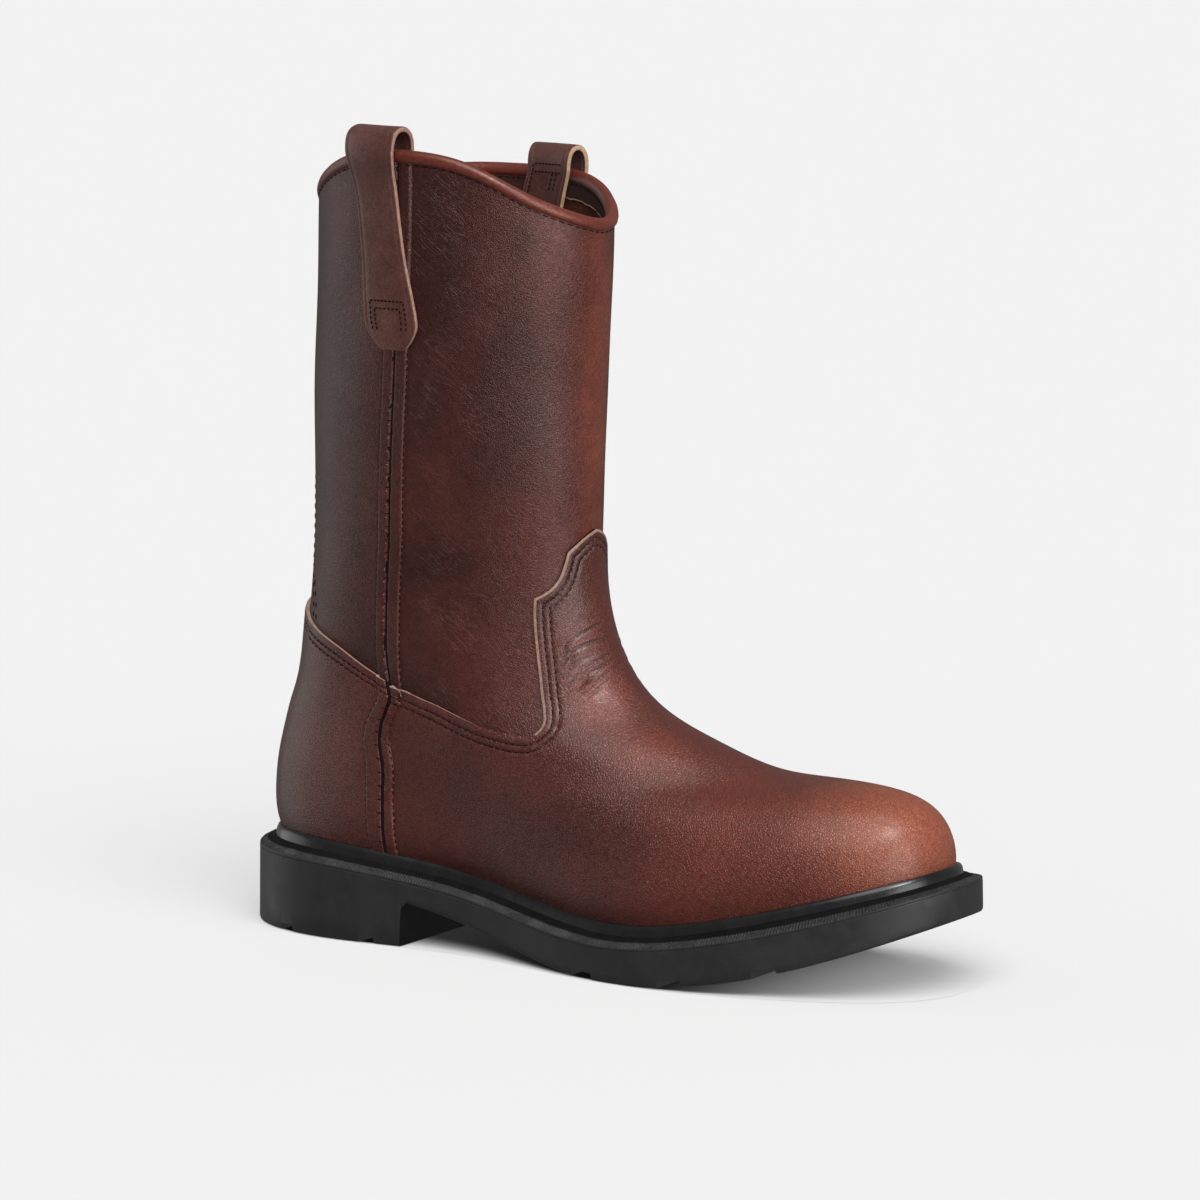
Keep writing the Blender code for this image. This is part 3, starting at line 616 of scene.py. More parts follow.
def slanted_noise(size, detail):
    """Noise that is stretched along the slant of the hide's small folds."""
    inputs = {"Vector": place, "Rotation": (0.0, FOLD_SLANT, 0.0), "Scale": size}
    turned = put(hide_grain, "ShaderNodeMapping", inputs, vector_type="TEXTURE").outputs[0]
    inputs = {"Vector": turned, "Scale": 1.0, "Detail": detail, "Roughness": 0.6, "Distortion": 0.5}
    return put(hide_grain, "ShaderNodeTexNoise", inputs).outputs[0]


def less(value, amount):
    """A value of the grain less an amount."""
    return math_node(hide_grain, "SUBTRACT", value, amount)


def weighted_sum(*parts):
    """The sum of values of the grain, each with its weight."""
    total = times(hide_grain, *parts[0])
    for value, weight in parts[1:]:
        total = plus(hide_grain, total, times(hide_grain, value, weight))
    return total


shake = noise(hide_grain, place, SHAKE_SCALE, 2.0).outputs["Color"]
inputs = {0: shake, 1: SHAKE_WAY, 2: place}
shaken = put(hide_grain, "ShaderNodeVectorMath", inputs, operation="MULTIPLY_ADD").outputs[0]
inputs = {"Vector": shaken, "Scale": pebble_scale}
pebble = put(hide_grain, "ShaderNodeTexVoronoi", inputs, feature="DISTANCE_TO_EDGE").outputs["Distance"]
pebble = remap(hide_grain, pebble, 0.0, 0.30, soft=True)
stroke = remap(hide_grain, slanted_noise(STROKE_SIZE, 2.0), 0.36, 0.64)
stroke = plus(hide_grain, times(hide_grain, less(stroke, 0.5), STROKE_SHARE), 0.5)
fold = math_node(hide_grain, "ABSOLUTE", less(slanted_noise(FOLD_SIZE, 1.5), 0.5))
fold = remap(hide_grain, fold, 0.0, FOLD_WIDTH, 1.0, 0.0, soft=True)
gaps = remap(hide_grain, noise(hide_grain, place, GAP_SCALE, 2.0).outputs[0], 0.35, 0.65, soft=True)
fold = times(hide_grain, times(hide_grain, fold, gaps), fold_share)
pore = noise(hide_grain, place, PORE_SCALE, 2.0).outputs[0]
pore_tone = remap(hide_grain, pore, 0.35, 0.65, -0.35, 0.35)
pits = times(hide_grain, less(pebble, PIT_LEVEL), pebble_share)
height = weighted_sum((pebble, pebble_share), (fold, 0.5), (stroke, 0.45), (pore, 0.30))
# The tone is the grain's own speckle and pores, with painted glints along the ridges of the fine folds.
tone = weighted_sum((stroke, 1.0), (pore_tone, 1.0), (fold, 0.9), (pits, 0.7))
hide_grain.links.new(height, ends_out.inputs[0])
hide_grain.links.new(tone, ends_out.inputs[1])

# %% Scuff group
scuff, ends_in, ends_out = new_group(
    "scuff", (("Vector", "NodeSocketVector"), ("Scale", "NodeSocketFloat")), (("Mask", "NodeSocketFloat"),)
)
place, scale = ends_in.outputs[:2]
inputs = {"Vector": place, "Scale": scale, "Detail": 5.0, "Roughness": 0.62, "Distortion": 0.6}
cloud = put(scuff, "ShaderNodeTexNoise", inputs).outputs[0]
scuff.links.new(remap(scuff, cloud, 0.30, 0.72), ends_out.inputs[0])
print("node groups:", [group.name for group in bpy.data.node_groups])

# %% [markdown]
# ## Finishes
# Oiled pull-up leather goes pale where it is bent and dark where oil gathers, so its colour is cloudy.
# The toe is a warm tan, the shaft is dark with red at its front, and the back is grey-brown, partly its
# own colour and partly a painted reflection of the pale studio. Some patches are partly painted light:
# lighter at the throat as a painted highlight, darker on the tongue and beside the outer strap as painted
# shade. A finish could be painted, but soft patches placed one by one keep it free of pictures, and they
# read the same from every side.

# %% Leather colours and patches
TONES = {
    "dark": (0.0120, 0.0028, 0.0024, 1),
    "russet": (0.0370, 0.0084, 0.0062, 1),
    "brown": (0.0260, 0.0062, 0.0048, 1),
    "red": (0.0430, 0.0082, 0.0054, 1),
    "rust": (0.0680, 0.0130, 0.0070, 1),
    "tan": (0.1250, 0.0330, 0.0170, 1),
    "dun": (0.0300, 0.0125, 0.0095, 1),
    "fawn": (0.0600, 0.0240, 0.0190, 1),
}
WIDE_CLOUDS = 26.0
FINE_CLOUDS = 620.0
EDGE_DULLNESS = 0.45
HIDE_SPECULAR = 0.31
HIDE_TINT = (1.0, 0.74, 0.68, 1)
COAT_ROUGHNESS = 0.24
Patch = namedtuple("Patch", "tone x y z reach_x reach_y reach_z strength")
SHAFT_PATCHES = (
    # Partly the back's own grey-brown, partly a painted reflection of the pale studio.
    Patch("dun", -0.120, -0.010, 0.150, 0.040, 0.060, 0.120, 0.60),
    Patch("dark", -0.093, -0.044, 0.200, 0.014, 0.026, 0.110, 0.45),
    Patch("red", 0.002, 0.000, 0.215, 0.022, 0.032, 0.130, 0.90),
    Patch("rust", 0.004, 0.004, 0.210, 0.016, 0.026, 0.120, 0.80),
    Patch("tan", 0.006, 0.004, 0.200, 0.016, 0.024, 0.110, 0.70),
    Patch("red", -0.016, -0.026, 0.160, 0.024, 0.022, 0.036, 0.55),
    Patch("red", -0.034, -0.036, 0.112, 0.034, 0.022, 0.026, 0.55),
    # Partly darker leather, partly painted shade beside the outer strap.
    Patch("dark", -0.051, -0.047, 0.268, 0.024, 0.030, 0.052, 0.90),
    Patch("dark", -0.032, -0.038, 0.225, 0.026, 0.030, 0.070, 0.50),
    Patch("dark", -0.020, -0.032, 0.240, 0.010, 0.018, 0.026, 0.50),
    Patch("red", -0.012, -0.027, 0.262, 0.010, 0.014, 0.020, 0.50),
    Patch("red", -0.040, 0.044, 0.200, 0.030, 0.026, 0.080, 0.45),
    Patch("dark", -0.070, 0.042, 0.150, 0.026, 0.026, 0.050, 0.45),
)
VAMP_PATCHES = (
    Patch("rust", 0.085, -0.020, 0.056, 0.070, 0.060, 0.046, 0.70),
    Patch("tan", 0.136, -0.002, 0.064, 0.050, 0.058, 0.040, 1.00),
    Patch("red", 0.100, -0.040, 0.040, 0.040, 0.018, 0.022, 0.70),
    Patch("dark", 0.010, -0.044, 0.050, 0.046, 0.024, 0.026, 0.40),
    Patch("dark", 0.000, 0.036, 0.054, 0.046, 0.024, 0.026, 0.40),
    Patch("red", 0.046, 0.000, 0.092, 0.036, 0.030, 0.024, 0.60),
    # The two rust patches at the throat: partly lighter leather, partly a painted highlight on the instep.
    Patch("rust", 0.008, -0.018, 0.100, 0.020, 0.018, 0.018, 0.85),
    Patch("rust", 0.030, -0.022, 0.084, 0.022, 0.018, 0.014, 0.80),
    Patch("red", -0.004, -0.012, 0.140, 0.020, 0.024, 0.030, 0.60),
    Patch("red", -0.100, -0.036, 0.088, 0.026, 0.022, 0.030, 0.60),
    Patch("dark", -0.108, -0.036, 0.052, 0.018, 0.018, 0.022, 0.40),
    # The dun and fawn patches at the heel: partly the leather's own colour, partly a painted reflection of
    # the pale studio.
    Patch("dun", -0.142, 0.000, 0.095, 0.022, 0.040, 0.060, 0.60),
    Patch("fawn", -0.112, -0.034, 0.078, 0.030, 0.030, 0.045, 0.60),
    # Partly darker leather, partly painted shade that damps the side lamp's sheen on the tongue.
    Patch("dark", -0.012, -0.022, 0.150, 0.024, 0.024, 0.032, 0.75),
)


def new_finish(name):
    """A new material, its node tree, its shader and its Object coordinates."""
    made = bpy.data.materials.new(name)
    made.use_nodes = True
    tree = made.node_tree
    return made, tree, tree.nodes["Principled BSDF"], put(tree, "ShaderNodeTexCoord").outputs["Object"]


def set_relief(tree, shader, height, distance, strength):
    """Let a height bump the surface of a finish."""
    relief = put(tree, "ShaderNodeBump", {"Height": height, "Distance": distance, "Strength": strength})
    tree.links.new(relief.outputs["Normal"], shader.inputs["Normal"])


def clouds(tree, place, scale):
    """The mask of the scuff group at a scale."""
    return put(tree, "ShaderNodeGroup", {"Vector": place, "Scale": scale}, node_tree=scuff).outputs["Mask"]


def leather(name, base, second, patches, pebble_scale, pebble_share, fold_share, bump, coat):
    """Oiled leather with cloudy colour, given patches and grain."""
    made, tree, shader, place = new_finish(name)
    fine = clouds(tree, place, FINE_CLOUDS)
    colour = mix_colour(tree, clouds(tree, place, WIDE_CLOUDS), TONES[base], TONES[second])
    for row in patches:
        inputs = {"Vector": place, "Centre": row[1:4], "Reach": row[4:7]}
        spot = put(tree, "ShaderNodeGroup", inputs, node_tree=soft_patch)
        share = times(tree, spot.outputs["Mask"], row.strength)
        colour = mix_colour(tree, share, colour, TONES[row.tone])
    inputs = {0: place, 1: pebble_scale, 2: pebble_share, 3: fold_share}
    grain = put(tree, "ShaderNodeGroup", inputs, node_tree=hide_grain)
    shade = remap(tree, plus(tree, fine, grain.outputs["Tone"]), 0.35, 1.65, 0.70, 1.32)
    # This attribute paints shade into stitch channels and crease troughs, and a highlight onto crease
    # ridges.
    painted_light = put(tree, "ShaderNodeAttribute", attribute_name="painted_light").outputs["Fac"]
    shade = times(tree, shade, plus(tree, painted_light, 1.0))
    grey = put(tree, "ShaderNodeCombineColor", {0: shade, 1: shade, 2: shade}).outputs[0]
    colour = mix_colour(tree, 1.0, colour, grey, "MULTIPLY")
    tree.links.new(colour, shader.inputs["Base Color"])
    facing = put(tree, "ShaderNodeLayerWeight", {"Blend": 0.5}).outputs["Facing"]
    dull = times(tree, times(tree, facing, facing), EDGE_DULLNESS)
    gloss = remap(tree, fine, 0.0, 1.0, 0.28, 0.38)
    tree.links.new(plus(tree, gloss, dull), shader.inputs["Roughness"])
    set_relief(tree, shader, grain.outputs["Height"], bump, 0.8)
    shader.inputs["Specular IOR Level"].default_value = HIDE_SPECULAR
    shader.inputs["Specular Tint"].default_value = HIDE_TINT
    shader.inputs["Coat Weight"].default_value = coat
    shader.inputs["Coat Roughness"].default_value = COAT_ROUGHNESS
    return made


shaft_hide = leather("shaft_hide", "russet", "dark", SHAFT_PATCHES, 1250.0, 0.55, 1.0, 0.00020, 0.03)
vamp_hide = leather("vamp_hide", "brown", "red", VAMP_PATCHES, 1050.0, 0.95, 0.2, 0.00014, 0.11)
strap_hide = leather("strap_hide", "fawn", "brown", (), 1300.0, 0.30, 0.3, 0.00018, 0.03)
binding_hide = leather("binding_hide", "rust", "red", (), 1300.0, 0.25, 0.2, 0.00022, 0.10)
print("leathers:", [made.name for made in (shaft_hide, vamp_hide, strap_hide, binding_hide)])

# %% [markdown]
# The cut edges show pale fibres, the lining is brushed suede, the thread is waxed and dark, and the sole
# is black rubber with a dull skin. The welt's bead is smoother than the sole, its groove is darker as
# painted shade, and its wheeled face is scuffed. The same darker rubber is painted shade under the sole
# and on the heel breast. Each finish is simple, with its own noise at its own scale.

# %% Other finishes
Finish = namedtuple("Finish", "name first second clouds smoothest roughest grain bump specular")
FINISHES = (
    Finish("raw_edge", (0.100, 0.062, 0.050), (0.19, 0.122, 0.096), 620, 0.80, 0.95, 2400, 0.0004, 0.08),
    Finish("dark_edge", (0.105, 0.056, 0.043), (0.21, 0.122, 0.095), 620, 0.75, 0.90, 2400, 0.0004, 0.12),
    Finish("pale_edge", (0.16, 0.098, 0.060), (0.25, 0.170, 0.108), 420, 0.85, 0.95, 2400, 0.0004, 0.10),
    Finish(
        "lining_suede", (0.030, 0.0085, 0.0050), (0.055, 0.0165, 0.0090),
        130, 0.88, 0.98, 1500, 0.0005, 0.05,
    ),
    Finish(
        "facing_hide", (0.018, 0.0070, 0.0060), (0.030, 0.012, 0.010),
        160, 0.70, 0.85, 1400, 0.0003, 0.05,
    ),
    Finish(
        "waxed_thread", (0.0036, 0.0014, 0.0012), (0.0070, 0.0028, 0.0024),
        700, 0.8, 0.9, 3000, 0.0001, 0.03,
    ),
    Finish(
        "sole_skin", (0.0082, 0.0082, 0.0083), (0.0118, 0.0118, 0.0118),
        90, 0.42, 0.56, 1800, 0.00006, 0.18,
    ),
    Finish(
        "bead_skin", (0.0030, 0.0030, 0.0031), (0.0050, 0.0050, 0.0052),
        90, 0.22, 0.32, 1500, 0.00004, 0.30,
    ),
    Finish(
        "rubber_painted_shade", (0.0014, 0.0013, 0.0013), (0.0030, 0.0028, 0.0027),
        90, 0.60, 0.75, 1800, 0.00006, 0.06,
    ),
    Finish(
        "wheel_skin", (0.0060, 0.0060, 0.0061), (0.0220, 0.0220, 0.0223),
        800, 0.50, 0.70, 1800, 0.00010, 0.11,
    ),
    Finish(
        "footbed_board", (0.110, 0.060, 0.030), (0.160, 0.095, 0.050),
        120, 0.75, 0.90, 900, 0.0003, 0.1,
    ),
)


def plain_finish(row):
    """A finish that mixes two colours by a cloud and has a fine relief."""
    made, tree, shader, place = new_finish(row.name)
    mask = clouds(tree, place, row.clouds)
    tree.links.new(mix_colour(tree, mask, (*row.first, 1), (*row.second, 1)), shader.inputs["Base Color"])
    tree.links.new(remap(tree, mask, 0.0, 1.0, row.smoothest, row.roughest), shader.inputs["Roughness"])
    set_relief(tree, shader, noise(tree, place, row.grain, 3.0).outputs[0], row.bump, 0.7)
    shader.inputs["Specular IOR Level"].default_value = row.specular
    return made


raw_edge, dark_edge, pale_edge, lining_suede, facing_hide, waxed_thread, *more = map(plain_finish, FINISHES)
sole_rubber, bead_rubber, painted_shade_rubber, wheel_rubber, footbed_board = more
print("other finishes:", len(FINISHES))

# %% [markdown]
# ## The closed side seam
# The front and back of the boot are joined edge to edge at each side, and the spare leather is folded
# back and sewn down. On both sides of the closed line that leaves a raised band, which ends in a row of
# stitches. The bands are shaped in the panels themselves, so the leather runs on without a gap. The
# closed line lies in a narrow valley, whose floor gets the dark finish of the thread as painted shade.

# %% Seam tables and profile
Seam = namedtuple("Seam", "level turn back front")
SEAM = (
    Seam(0.0, 0.1545, 0.0068, 0.0054),
    Seam(1.3, 0.1558, 0.0070, 0.0053),
    Seam(2.3, 0.1580, 0.0076, 0.0050),
    Seam(3.5, 0.1610, 0.0082, 0.0046),
    Seam(4.7, 0.1712, 0.0082, 0.0044),
    Seam(6.3, 0.1970, 0.0070, 0.0042),
    Seam(7.1, 0.2172, 0.0056, 0.0048),
    Seam(7.6, 0.2230, 0.0051, 0.0058),
    Seam(8.3, 0.2292, 0.0051, 0.0060),
    Seam(9.3, 0.2375, 0.0054, 0.0059),
    Seam(10.1, 0.2435, 0.0054, 0.0057),
    Seam(10.8, 0.2455, 0.0054, 0.0057),
    Seam(12.0, 0.2470, 0.0054, 0.0057),
)
PANEL_LIFT = 0.0020
PANEL = 0.0015
SHAFT_BAND = 0.0009
FOOT_BAND = 0.0008
SHAFT_VALLEY = 0.0014
FOOT_VALLEY = 0.0016
BAND_FALL = (-0.0006, 0.0004)
LIP_FALL = (0.0001, 0.00095)
ROW_CHANNEL = 0.00028
CHANNEL_HALF = 0.0005

seam_levels = np.linspace(0, TOP, 241)
seam_turns = spline(column(SEAM, "level"), column(SEAM, "turn"), seam_levels)
seam_speeds = np.linalg.norm(along_turn(seam_turns, seam_levels), axis=-1)


def seam_at(name, level):
    """One column of the SEAM table at an array of levels."""
    return spline(column(SEAM, "level"), column(SEAM, name), level)


def seam_way(turn, level):
    """Way along the skin from the nearer closed seam, in metres: below 0 behind it, above 0 ahead."""
    outer = np.minimum(turn % 1.0, 1 - turn % 1.0)
    return (outer - np.interp(level, seam_levels, seam_turns)) * np.interp(level, seam_levels, seam_speeds)


def seam_turn(level, way):
    """The outer side's turn at a way from the closed seam."""
    return np.interp(level, seam_levels, seam_turns) + way / np.interp(level, seam_levels, seam_speeds)


def band_height(turn, level, rise, valley):
    """Height of the raised bands and the valley of the closed seam."""
    way = seam_way(turn, level)
    width = np.where(way < 0, seam_at("back", level), seam_at("front", level))
    way = np.abs(way)
    raised = rise * (1 - smooth_step(width + BAND_FALL[0], width + BAND_FALL[1], way))
    lip = -valley * (1 - smooth_step(*LIP_FALL, way))
    return raised + lip - ROW_CHANNEL * bell(way - width, CHANNEL_HALF)


print("seam at the collar, turn:", round(float(seam_turns[-1]), 3))

# %% [markdown]
# ## Creases
# The instep of a pull-on boot folds where the foot bends it on the way in. The main creases are listed
# as short lines of three places each. They could be left to a bump, but then they'd vanish at a
# shallow angle. A crease is a soft trough with a low ridge on both sides. Fine grain is left to the
# finish.

# %% Crease table and field
Crease = namedtuple("Crease", "turn_a level_a turn_b level_b turn_c level_c width depth")
CREASES = (
    Crease(0.400, 7.51, 0.433, 7.72, 0.500, 7.84, 0.0007, 0.000312),
    Crease(0.394, 7.40, 0.430, 7.62, 0.497, 7.68, 0.0008, 0.000390),
    Crease(0.392, 7.34, 0.415, 7.49, 0.448, 7.68, 0.0006, 0.000286),
    Crease(0.388, 7.27, 0.422, 7.48, 0.466, 7.56, 0.0007, 0.000312),
    Crease(0.388, 7.21, 0.432, 7.43, 0.498, 7.56, 0.0007, 0.000338),
    Crease(0.384, 7.16, 0.418, 7.33, 0.488, 7.49, 0.0007, 0.000312),
    Crease(0.389, 7.12, 0.431, 7.32, 0.478, 7.45, 0.0006, 0.000286),
    Crease(0.390, 7.08, 0.436, 7.28, 0.478, 7.40, 0.0007, 0.000312),
    Crease(0.404, 7.20, 0.421, 7.28, 0.442, 7.36, 0.0006, 0.000208),
    Crease(0.394, 7.04, 0.428, 7.19, 0.461, 7.30, 0.0008, 0.000234),
    Crease(0.404, 7.58, 0.417, 7.64, 0.438, 7.78, 0.0006, 0.000208),
    Crease(0.438, 7.83, 0.457, 7.83, 0.468, 7.85, 0.0007, 0.000156),
    Crease(0.530, 7.44, 0.566, 7.36, 0.600, 7.22, 0.0012, 0.000182),
    Crease(0.532, 7.60, 0.570, 7.52, 0.596, 7.40, 0.0012, 0.000169),
    Crease(0.538, 7.26, 0.576, 7.18, 0.612, 7.04, 0.0012, 0.000169),
    Crease(0.542, 7.04, 0.580, 6.98, 0.614, 6.84, 0.0012, 0.000143),
)
CREASE_PLACES = 9
CREASE_REACH = 0.030
CREASE_FADES = (0.006, 0.008)
RIDGE_SHARE = 0.55
RIDGE_WAY = 1.7
RIDGE_HALF = 0.8


def crease_height(points):
    """Depth of the creases at points on the instep."""
    total = np.zeros(len(points))
    for row in CREASES:
        share = np.linspace(0, 1, CREASE_PLACES)
        turns = spline((0, 0.5, 1), (row.turn_a, row.turn_b, row.turn_c), share)
        levels = spline((0, 0.5, 1), (row.level_a, row.level_b, row.level_c), share)
        line = offset(turns, levels, np.full(CREASE_PLACES, PANEL_LIFT))
        near = np.linalg.norm(points - line[CREASE_PLACES // 2], axis=1) < CREASE_REACH
        if not near.any():
            continue
        way = line_distance(points[near], line) / row.width
        fade = 1.0
        for end, length in zip((line[0], line[-1]), CREASE_FADES):
            fade = fade * smooth_step(0.0, length, np.linalg.norm(points[near] - end, axis=1))
        total[near] += row.depth * fade * (RIDGE_SHARE * bell(way - RIDGE_WAY, RIDGE_HALF) - bell(way, 1.0))
    return total


print("creases:", len(CREASES))

# %% [markdown]
# ## The shaft
# The shaft is the tall tube of the boot. Its leather starts under the vamp and the counter and ends in
# the collar. It is one grid laid on the skin. Its columns crowd together at the side seams, where the
# bands are, and its rows are even along the leather.

# %% Shaft
SHAFT_LOW = 5.7
SHAFT_ROWS = 150
SEAM_WAYS = 0.001 * np.array(
    [0.2, 0.5, 0.75, 1.05, 2.0, 3.0, 4.0, 4.6, 5.0, 5.4, 5.8, 6.2, 6.6, 7.0, 7.4, 7.8, 8.2, 8.6, 9.2, 10.2]
)
BACK_COLUMNS = 42
FRONT_COLUMNS = 46
SHAFT_WALL = 0.0012
VALLEY_SHADE_WAY = 0.0008


def even_levels(turn, low, high, count):
    """Levels that lie evenly along the leather between two levels."""
    fine = np.linspace(low, high, 400)
    way = run_along(skin(np.full(len(fine), turn), fine))
    return np.interp(np.linspace(0, way[-1], count), way, fine)


def half_columns(level):
    """Turns of the outer half's columns at one level, from the back to the front."""
    back = seam_turn(level, -SEAM_WAYS[::-1])
    front = seam_turn(level, SEAM_WAYS)
    start = np.linspace(0, back[0], BACK_COLUMNS + 1)[:-1]
    end = np.linspace(front[-1], 0.5, FRONT_COLUMNS + 1)[1:]
    return np.concatenate([start, back, [seam_turn(level, 0.0)], front, end])


def shaft_height(turn, level):
    """Height of the shaft's leather over the skin."""
    return band_height(turn, level, SHAFT_BAND, SHAFT_VALLEY) + unevenness(skin(turn, level))


def paint_valley_shade(piece, turns, levels):
    """Give the faces in the valley of the closed seam the dark finish of the thread, as painted shade."""
    ways = np.abs(seam_way(np.ravel(turns), np.ravel(levels)))
    piece.data.materials.append(waxed_thread)
    for face in piece.data.polygons:
        if max(ways[n] for n in face.vertices) < VALLEY_SHADE_WAY:
            face.material_index = len(piece.data.materials) - 1


shaft_levels = even_levels(0.30, SHAFT_LOW, TOP, SHAFT_ROWS)
half = np.array([half_columns(level) for level in shaft_levels])
shaft_turns = np.concatenate([half, 1 - half[:, -2:0:-1]], axis=1)
shaft_grid_levels = np.broadcast_to(shaft_levels[:, None], shaft_turns.shape)
shaft_points = offset(shaft_turns, shaft_grid_levels, shaft_height(shaft_turns, shaft_grid_levels))
shaft = laid_grid("shaft", shaft_points, ring=True)
dress(shaft, shaft_hide)
# The valley's faces get the thread's dark finish as painted shade.
paint_valley_shade(shaft, shaft_turns, shaft_grid_levels)
face_outward(shaft)
thicken(shaft, SHAFT_WALL, 0)
smooth(shaft, 60)
settle(shaft, "shaft_leather", "upper")

# %% [markdown]
# ## The counter
# The counter is the panel round the heel, from one closed seam to the other. Its top edge is cut raw, so
# the rim of the Solidify modifier gets the pale edge finish, except in the valley of the seam.

# %% Counter
Line = namedtuple("Line", "turn level")
COUNTER_LINE = (
    Line(0.0, 8.26),
    Line(0.0700, 8.14),
    Line(0.1080, 7.965),
    Line(0.1300, 7.84),
    Line(0.1490, 7.735),
    Line(0.1650, 7.635),
    Line(0.1890, 7.45),
    Line(0.2080, 7.30),
    Line(0.2220, 7.20),
    Line(0.2400, 7.06),
)
EDGE_WAYS = 0.001 * np.array(
    [0.0, 0.5, 1.0, 1.8, 2.5, 3.0, 3.4, 3.8, 4.3, 5.1, 5.7, 6.1, 6.5, 7.0, 7.8, 8.8]
)
VALLEY_WAY = 0.0005
COUNTER_ROWS = 78
ROW_WAYS = (0.0034, 0.0061)
EDGE_STRIP = 0.0011
EDGE_CHANNEL = 0.00040
EDGE_FALL = 0.00030
EDGE_FALL_HALF = 0.0008
CHANNEL_SHADE = 0.45
BACK_PLACES = 39
FAR_WAY = 0.02
RIM_REACH = 0.0025


def row_channels(way):
    """1 in the middle of the two stitch rows beside a cut edge, 0 away from them."""
    return sum(bell(way - row, CHANNEL_HALF) for row in ROW_WAYS)


def edge_grooves(way):
    """Shallow channels under the two stitch rows beside a cut edge, and the edge's own soft fall."""
    return -EDGE_CHANNEL * row_channels(way) - EDGE_FALL * bell(way, EDGE_FALL_HALF)


def edge_shade(way):
    """Share of painted shade by which the leather is darker in the channels of the stitch rows."""
    return -CHANNEL_SHADE * row_channels(way)


def mark_painted_light(piece, values):
    """Keep each point's painted shade and highlight for its finish."""
    mark = piece.data.attributes.new("painted_light", "FLOAT", "POINT")
    mark.data.foreach_set("value", np.asarray(values, np.float32).ravel())


def panel_height(turn, level):
    """Height of the foot panels over the skin, with the bands of the side seam."""
    return PANEL_LIFT + band_height(turn, level, FOOT_BAND, FOOT_VALLEY) + unevenness(skin(turn, level))


def counter_top(turn):
    """Level of the counter's top edge."""
    mirrored = [Line(-row.turn, row.level) for row in COUNTER_LINE[:0:-1]]
    table = (*mirrored, *COUNTER_LINE)
    return spline(column(table, "turn"), column(table, "level"), turn)


def mend_rim(piece, edge_line, reach):
    """Give rim faces away from a cut edge the leather again."""
    mesh = piece.data
    slots = np.zeros(len(mesh.polygons), np.int32)
    middles = np.zeros(len(mesh.polygons) * 3, np.float32)
    mesh.polygons.foreach_get("material_index", slots)
    mesh.polygons.foreach_get("center", middles)
    rim = np.nonzero(slots == 1)[0]
    away = line_distance(middles.reshape(-1, 3)[rim].astype(float), edge_line)
    slots[rim[away > reach]] = 0
    mesh.polygons.foreach_set("material_index", slots)


end_level = COUNTER_LINE[-2].level
for _ in range(8):
    end_level = float(counter_top(seam_turn(end_level, -VALLEY_WAY)))
band_edge = float(seam_turn(end_level, -SEAM_WAYS[-1]))
back_share = np.arange(BACK_PLACES) / BACK_PLACES
top_turns = np.concatenate([back_share * band_edge, seam_turn(end_level, -SEAM_WAYS[::-1])])
top_levels = counter_top(top_turns)
rise = np.linalg.norm(along_level(top_turns, top_levels), axis=-1)
near_edge = top_levels[None, :] - EDGE_WAYS[:, None] / rise[None, :]
low_share = np.linspace(1, 0, COUNTER_ROWS - len(EDGE_WAYS) + 1)[1:]
counter_levels = np.concatenate([near_edge, near_edge[-1] * low_share[:, None]])
counter_turns = []
for row in counter_levels:
    back = back_share * seam_turn(row[:BACK_PLACES], -SEAM_WAYS[-1])
    counter_turns.append(np.concatenate([back, seam_turn(row[BACK_PLACES:], -SEAM_WAYS[::-1])]))
counter_turns = np.array(counter_turns)
counter_way = np.concatenate([EDGE_WAYS, np.full(COUNTER_ROWS - len(EDGE_WAYS), FAR_WAY)])
counter_turns = np.concatenate([-counter_turns[:, :0:-1], counter_turns], axis=1)[::-1]
counter_levels = np.concatenate([counter_levels[:, :0:-1], counter_levels], axis=1)[::-1]
counter_lift = panel_height(counter_turns, counter_levels) + edge_grooves(counter_way[::-1])[:, None]
counter_points = offset(counter_turns, counter_levels, counter_lift)
counter = laid_grid("counter_panel", counter_points, ring=False)
dress(counter, vamp_hide, raw_edge)
paint_valley_shade(counter, counter_turns, counter_levels)
# Painted shade in the channels of the two stitch rows.
mark_painted_light(counter, np.broadcast_to(edge_shade(counter_way[::-1])[:, None], counter_turns.shape))
face_outward(counter)
thicken(counter, PANEL, 1)
mend_rim(counter, counter_points[-1], RIM_REACH)
smooth(counter, 50)
settle(counter, "shaft_leather", "counter")

# %% [markdown]
# ## The vamp
# The vamp covers the toe and instep, and its stepped tongue climbs the front of the shaft. Its outline
# turns back on itself, so a plain grid would shear at the tongue. It is cut as a maker cuts it: the
# outline is drawn on a flat pattern, the pattern is filled with even points, and the sheet is then laid
# on the last.

